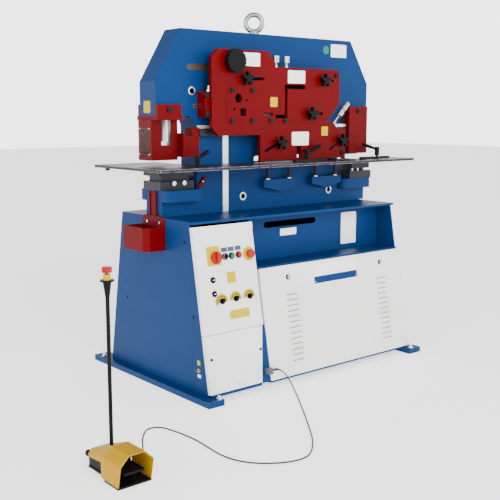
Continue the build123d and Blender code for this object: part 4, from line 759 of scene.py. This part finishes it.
for point, place in zip(spline.points, CABLE_ROUTE):
    point.co = (*place, 1.0)
spline.order_u = 3
spline.use_endpoint_u = True
spline.resolution_u = 6
cable = bpy.data.objects.new("cable", line)
bpy.context.collection.objects.link(cable)
line.materials.append(SHEATH)
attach(cable, "machine")
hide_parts("foot_cable")

# Tapered, ribbed sleeves along the first bend at each end of the cable
RELIEF_WIDE = 0.0065
RELIEF_NARROW = 0.0042
RELIEF_RIBS = 7
RELIEF_SIDES = 20
RIB_STEPS = 4
RIB_DEEP = 0.0006


def strain_relief(name, first, second, third):
    """A sleeve along the quadratic curve that the cable follows from its first point."""
    start = Vector(first)
    bend = Vector(second)
    end = (bend + Vector(third)) / 2
    steps = RELIEF_RIBS * RIB_STEPS
    rims = []
    bm = bmesh.new()
    for step in range(steps + 1):
        share = step / steps
        middle = start * (1 - share) ** 2 + bend * 2 * share * (1 - share) + end * share ** 2
        along = ((bend - start) * (1 - share) + (end - bend) * share).normalized()
        across = along.cross(Vector((0, 0, 1))).normalized()
        over = across.cross(along)
        groove = RIB_DEEP if step % RIB_STEPS == RIB_STEPS // 2 else 0.0
        radius = RELIEF_WIDE + (RELIEF_NARROW - RELIEF_WIDE) * share - groove
        rims.append([bm.verts.new(middle + across * x + over * y) for x, y in ring(radius, RELIEF_SIDES)])
    for lower, upper in zip(rims, rims[1:]):
        bridge(bm, lower, upper)
    bm.faces.new(rims[0])
    bm.faces.new(rims[-1])
    finish_piece(name, bm, BLACK, "machine")


strain_relief("strain_relief_pedal", *CABLE_ROUTE[:3])
strain_relief("strain_relief_cabinet", *CABLE_ROUTE[:-4:-1])

# Floor
FLOOR_HALF = 30.0
bm = bmesh.new()
bmesh.ops.create_grid(bm, x_segments=1, y_segments=1, size=FLOOR_HALF)
floor_mesh = bpy.data.meshes.new("floor")
bm.to_mesh(floor_mesh)
bm.free()
floor = bpy.data.objects.new("floor", floor_mesh)
bpy.context.collection.objects.link(floor)
floor_material, tree, main, coords = shader("pale_floor")
tone = noise(tree, coords, scale=0.8, detail=3.0)
tree.links.new(drift(tree, tone, grey(0.86), grey(0.89)), main.inputs["Base Color"])
main.inputs["Roughness"].default_value = 0.85
main.inputs["Emission Color"].default_value = grey(1.0)
main.inputs["Emission Strength"].default_value = 1.25
floor_mesh.materials.append(floor_material)

# A white studio: bright round the horizon, dimmer overhead
SKY_HORIZON = (0.12, grey(1.0))
SKY_OVERHEAD = (0.55, grey(0.16))
SKY_STRENGTH = 3.6
world = bpy.data.worlds.new("studio")
world.use_nodes = True
sky = world.node_tree
background = sky.nodes["Background"]
upward = sky.nodes.new("ShaderNodeSeparateXYZ")
sky.links.new(sky.nodes.new("ShaderNodeTexCoord").outputs["Generated"], upward.inputs["Vector"])
sky.links.new(ramp(sky, upward.outputs["Z"], (SKY_HORIZON, SKY_OVERHEAD)), background.inputs["Color"])
background.inputs["Strength"].default_value = SKY_STRENGTH
bpy.context.scene.world = world


def area_light(name, place, aim, size, power):
    """A soft square light that looks at a place."""
    data = bpy.data.lights.new(name, "AREA")
    data.size = size
    data.energy = power
    lamp = bpy.data.objects.new(name, data)
    lamp.location = place
    lamp.rotation_euler = (Vector(aim) - Vector(place)).to_track_quat("-Z", "Y").to_euler()
    bpy.context.collection.objects.link(lamp)


area_light("key", place=(-1.2, -5.2, 3.6), aim=(-0.1, 0.0, 0.9), size=2.6, power=300)
area_light("side", place=(-5.0, -1.2, 2.6), aim=(-0.4, 0.0, 0.9), size=2.6, power=60)

# Camera at the photograph's viewing angle: angles in radians, down from level and to the right of +Y
CAMERA_DOWN = 0.159
CAMERA_RIGHT = 0.694
camera_data = bpy.data.cameras.new("camera")
camera_data.lens = 60.43
camera_data.sensor_width = 36.0
camera = bpy.data.objects.new("camera", camera_data)
camera.location = (-3.1047, -3.6370, 1.3940)
camera.rotation_euler = (pi / 2 - CAMERA_DOWN, 0.0, -CAMERA_RIGHT)
bpy.context.collection.objects.link(camera)
bpy.context.scene.camera = camera
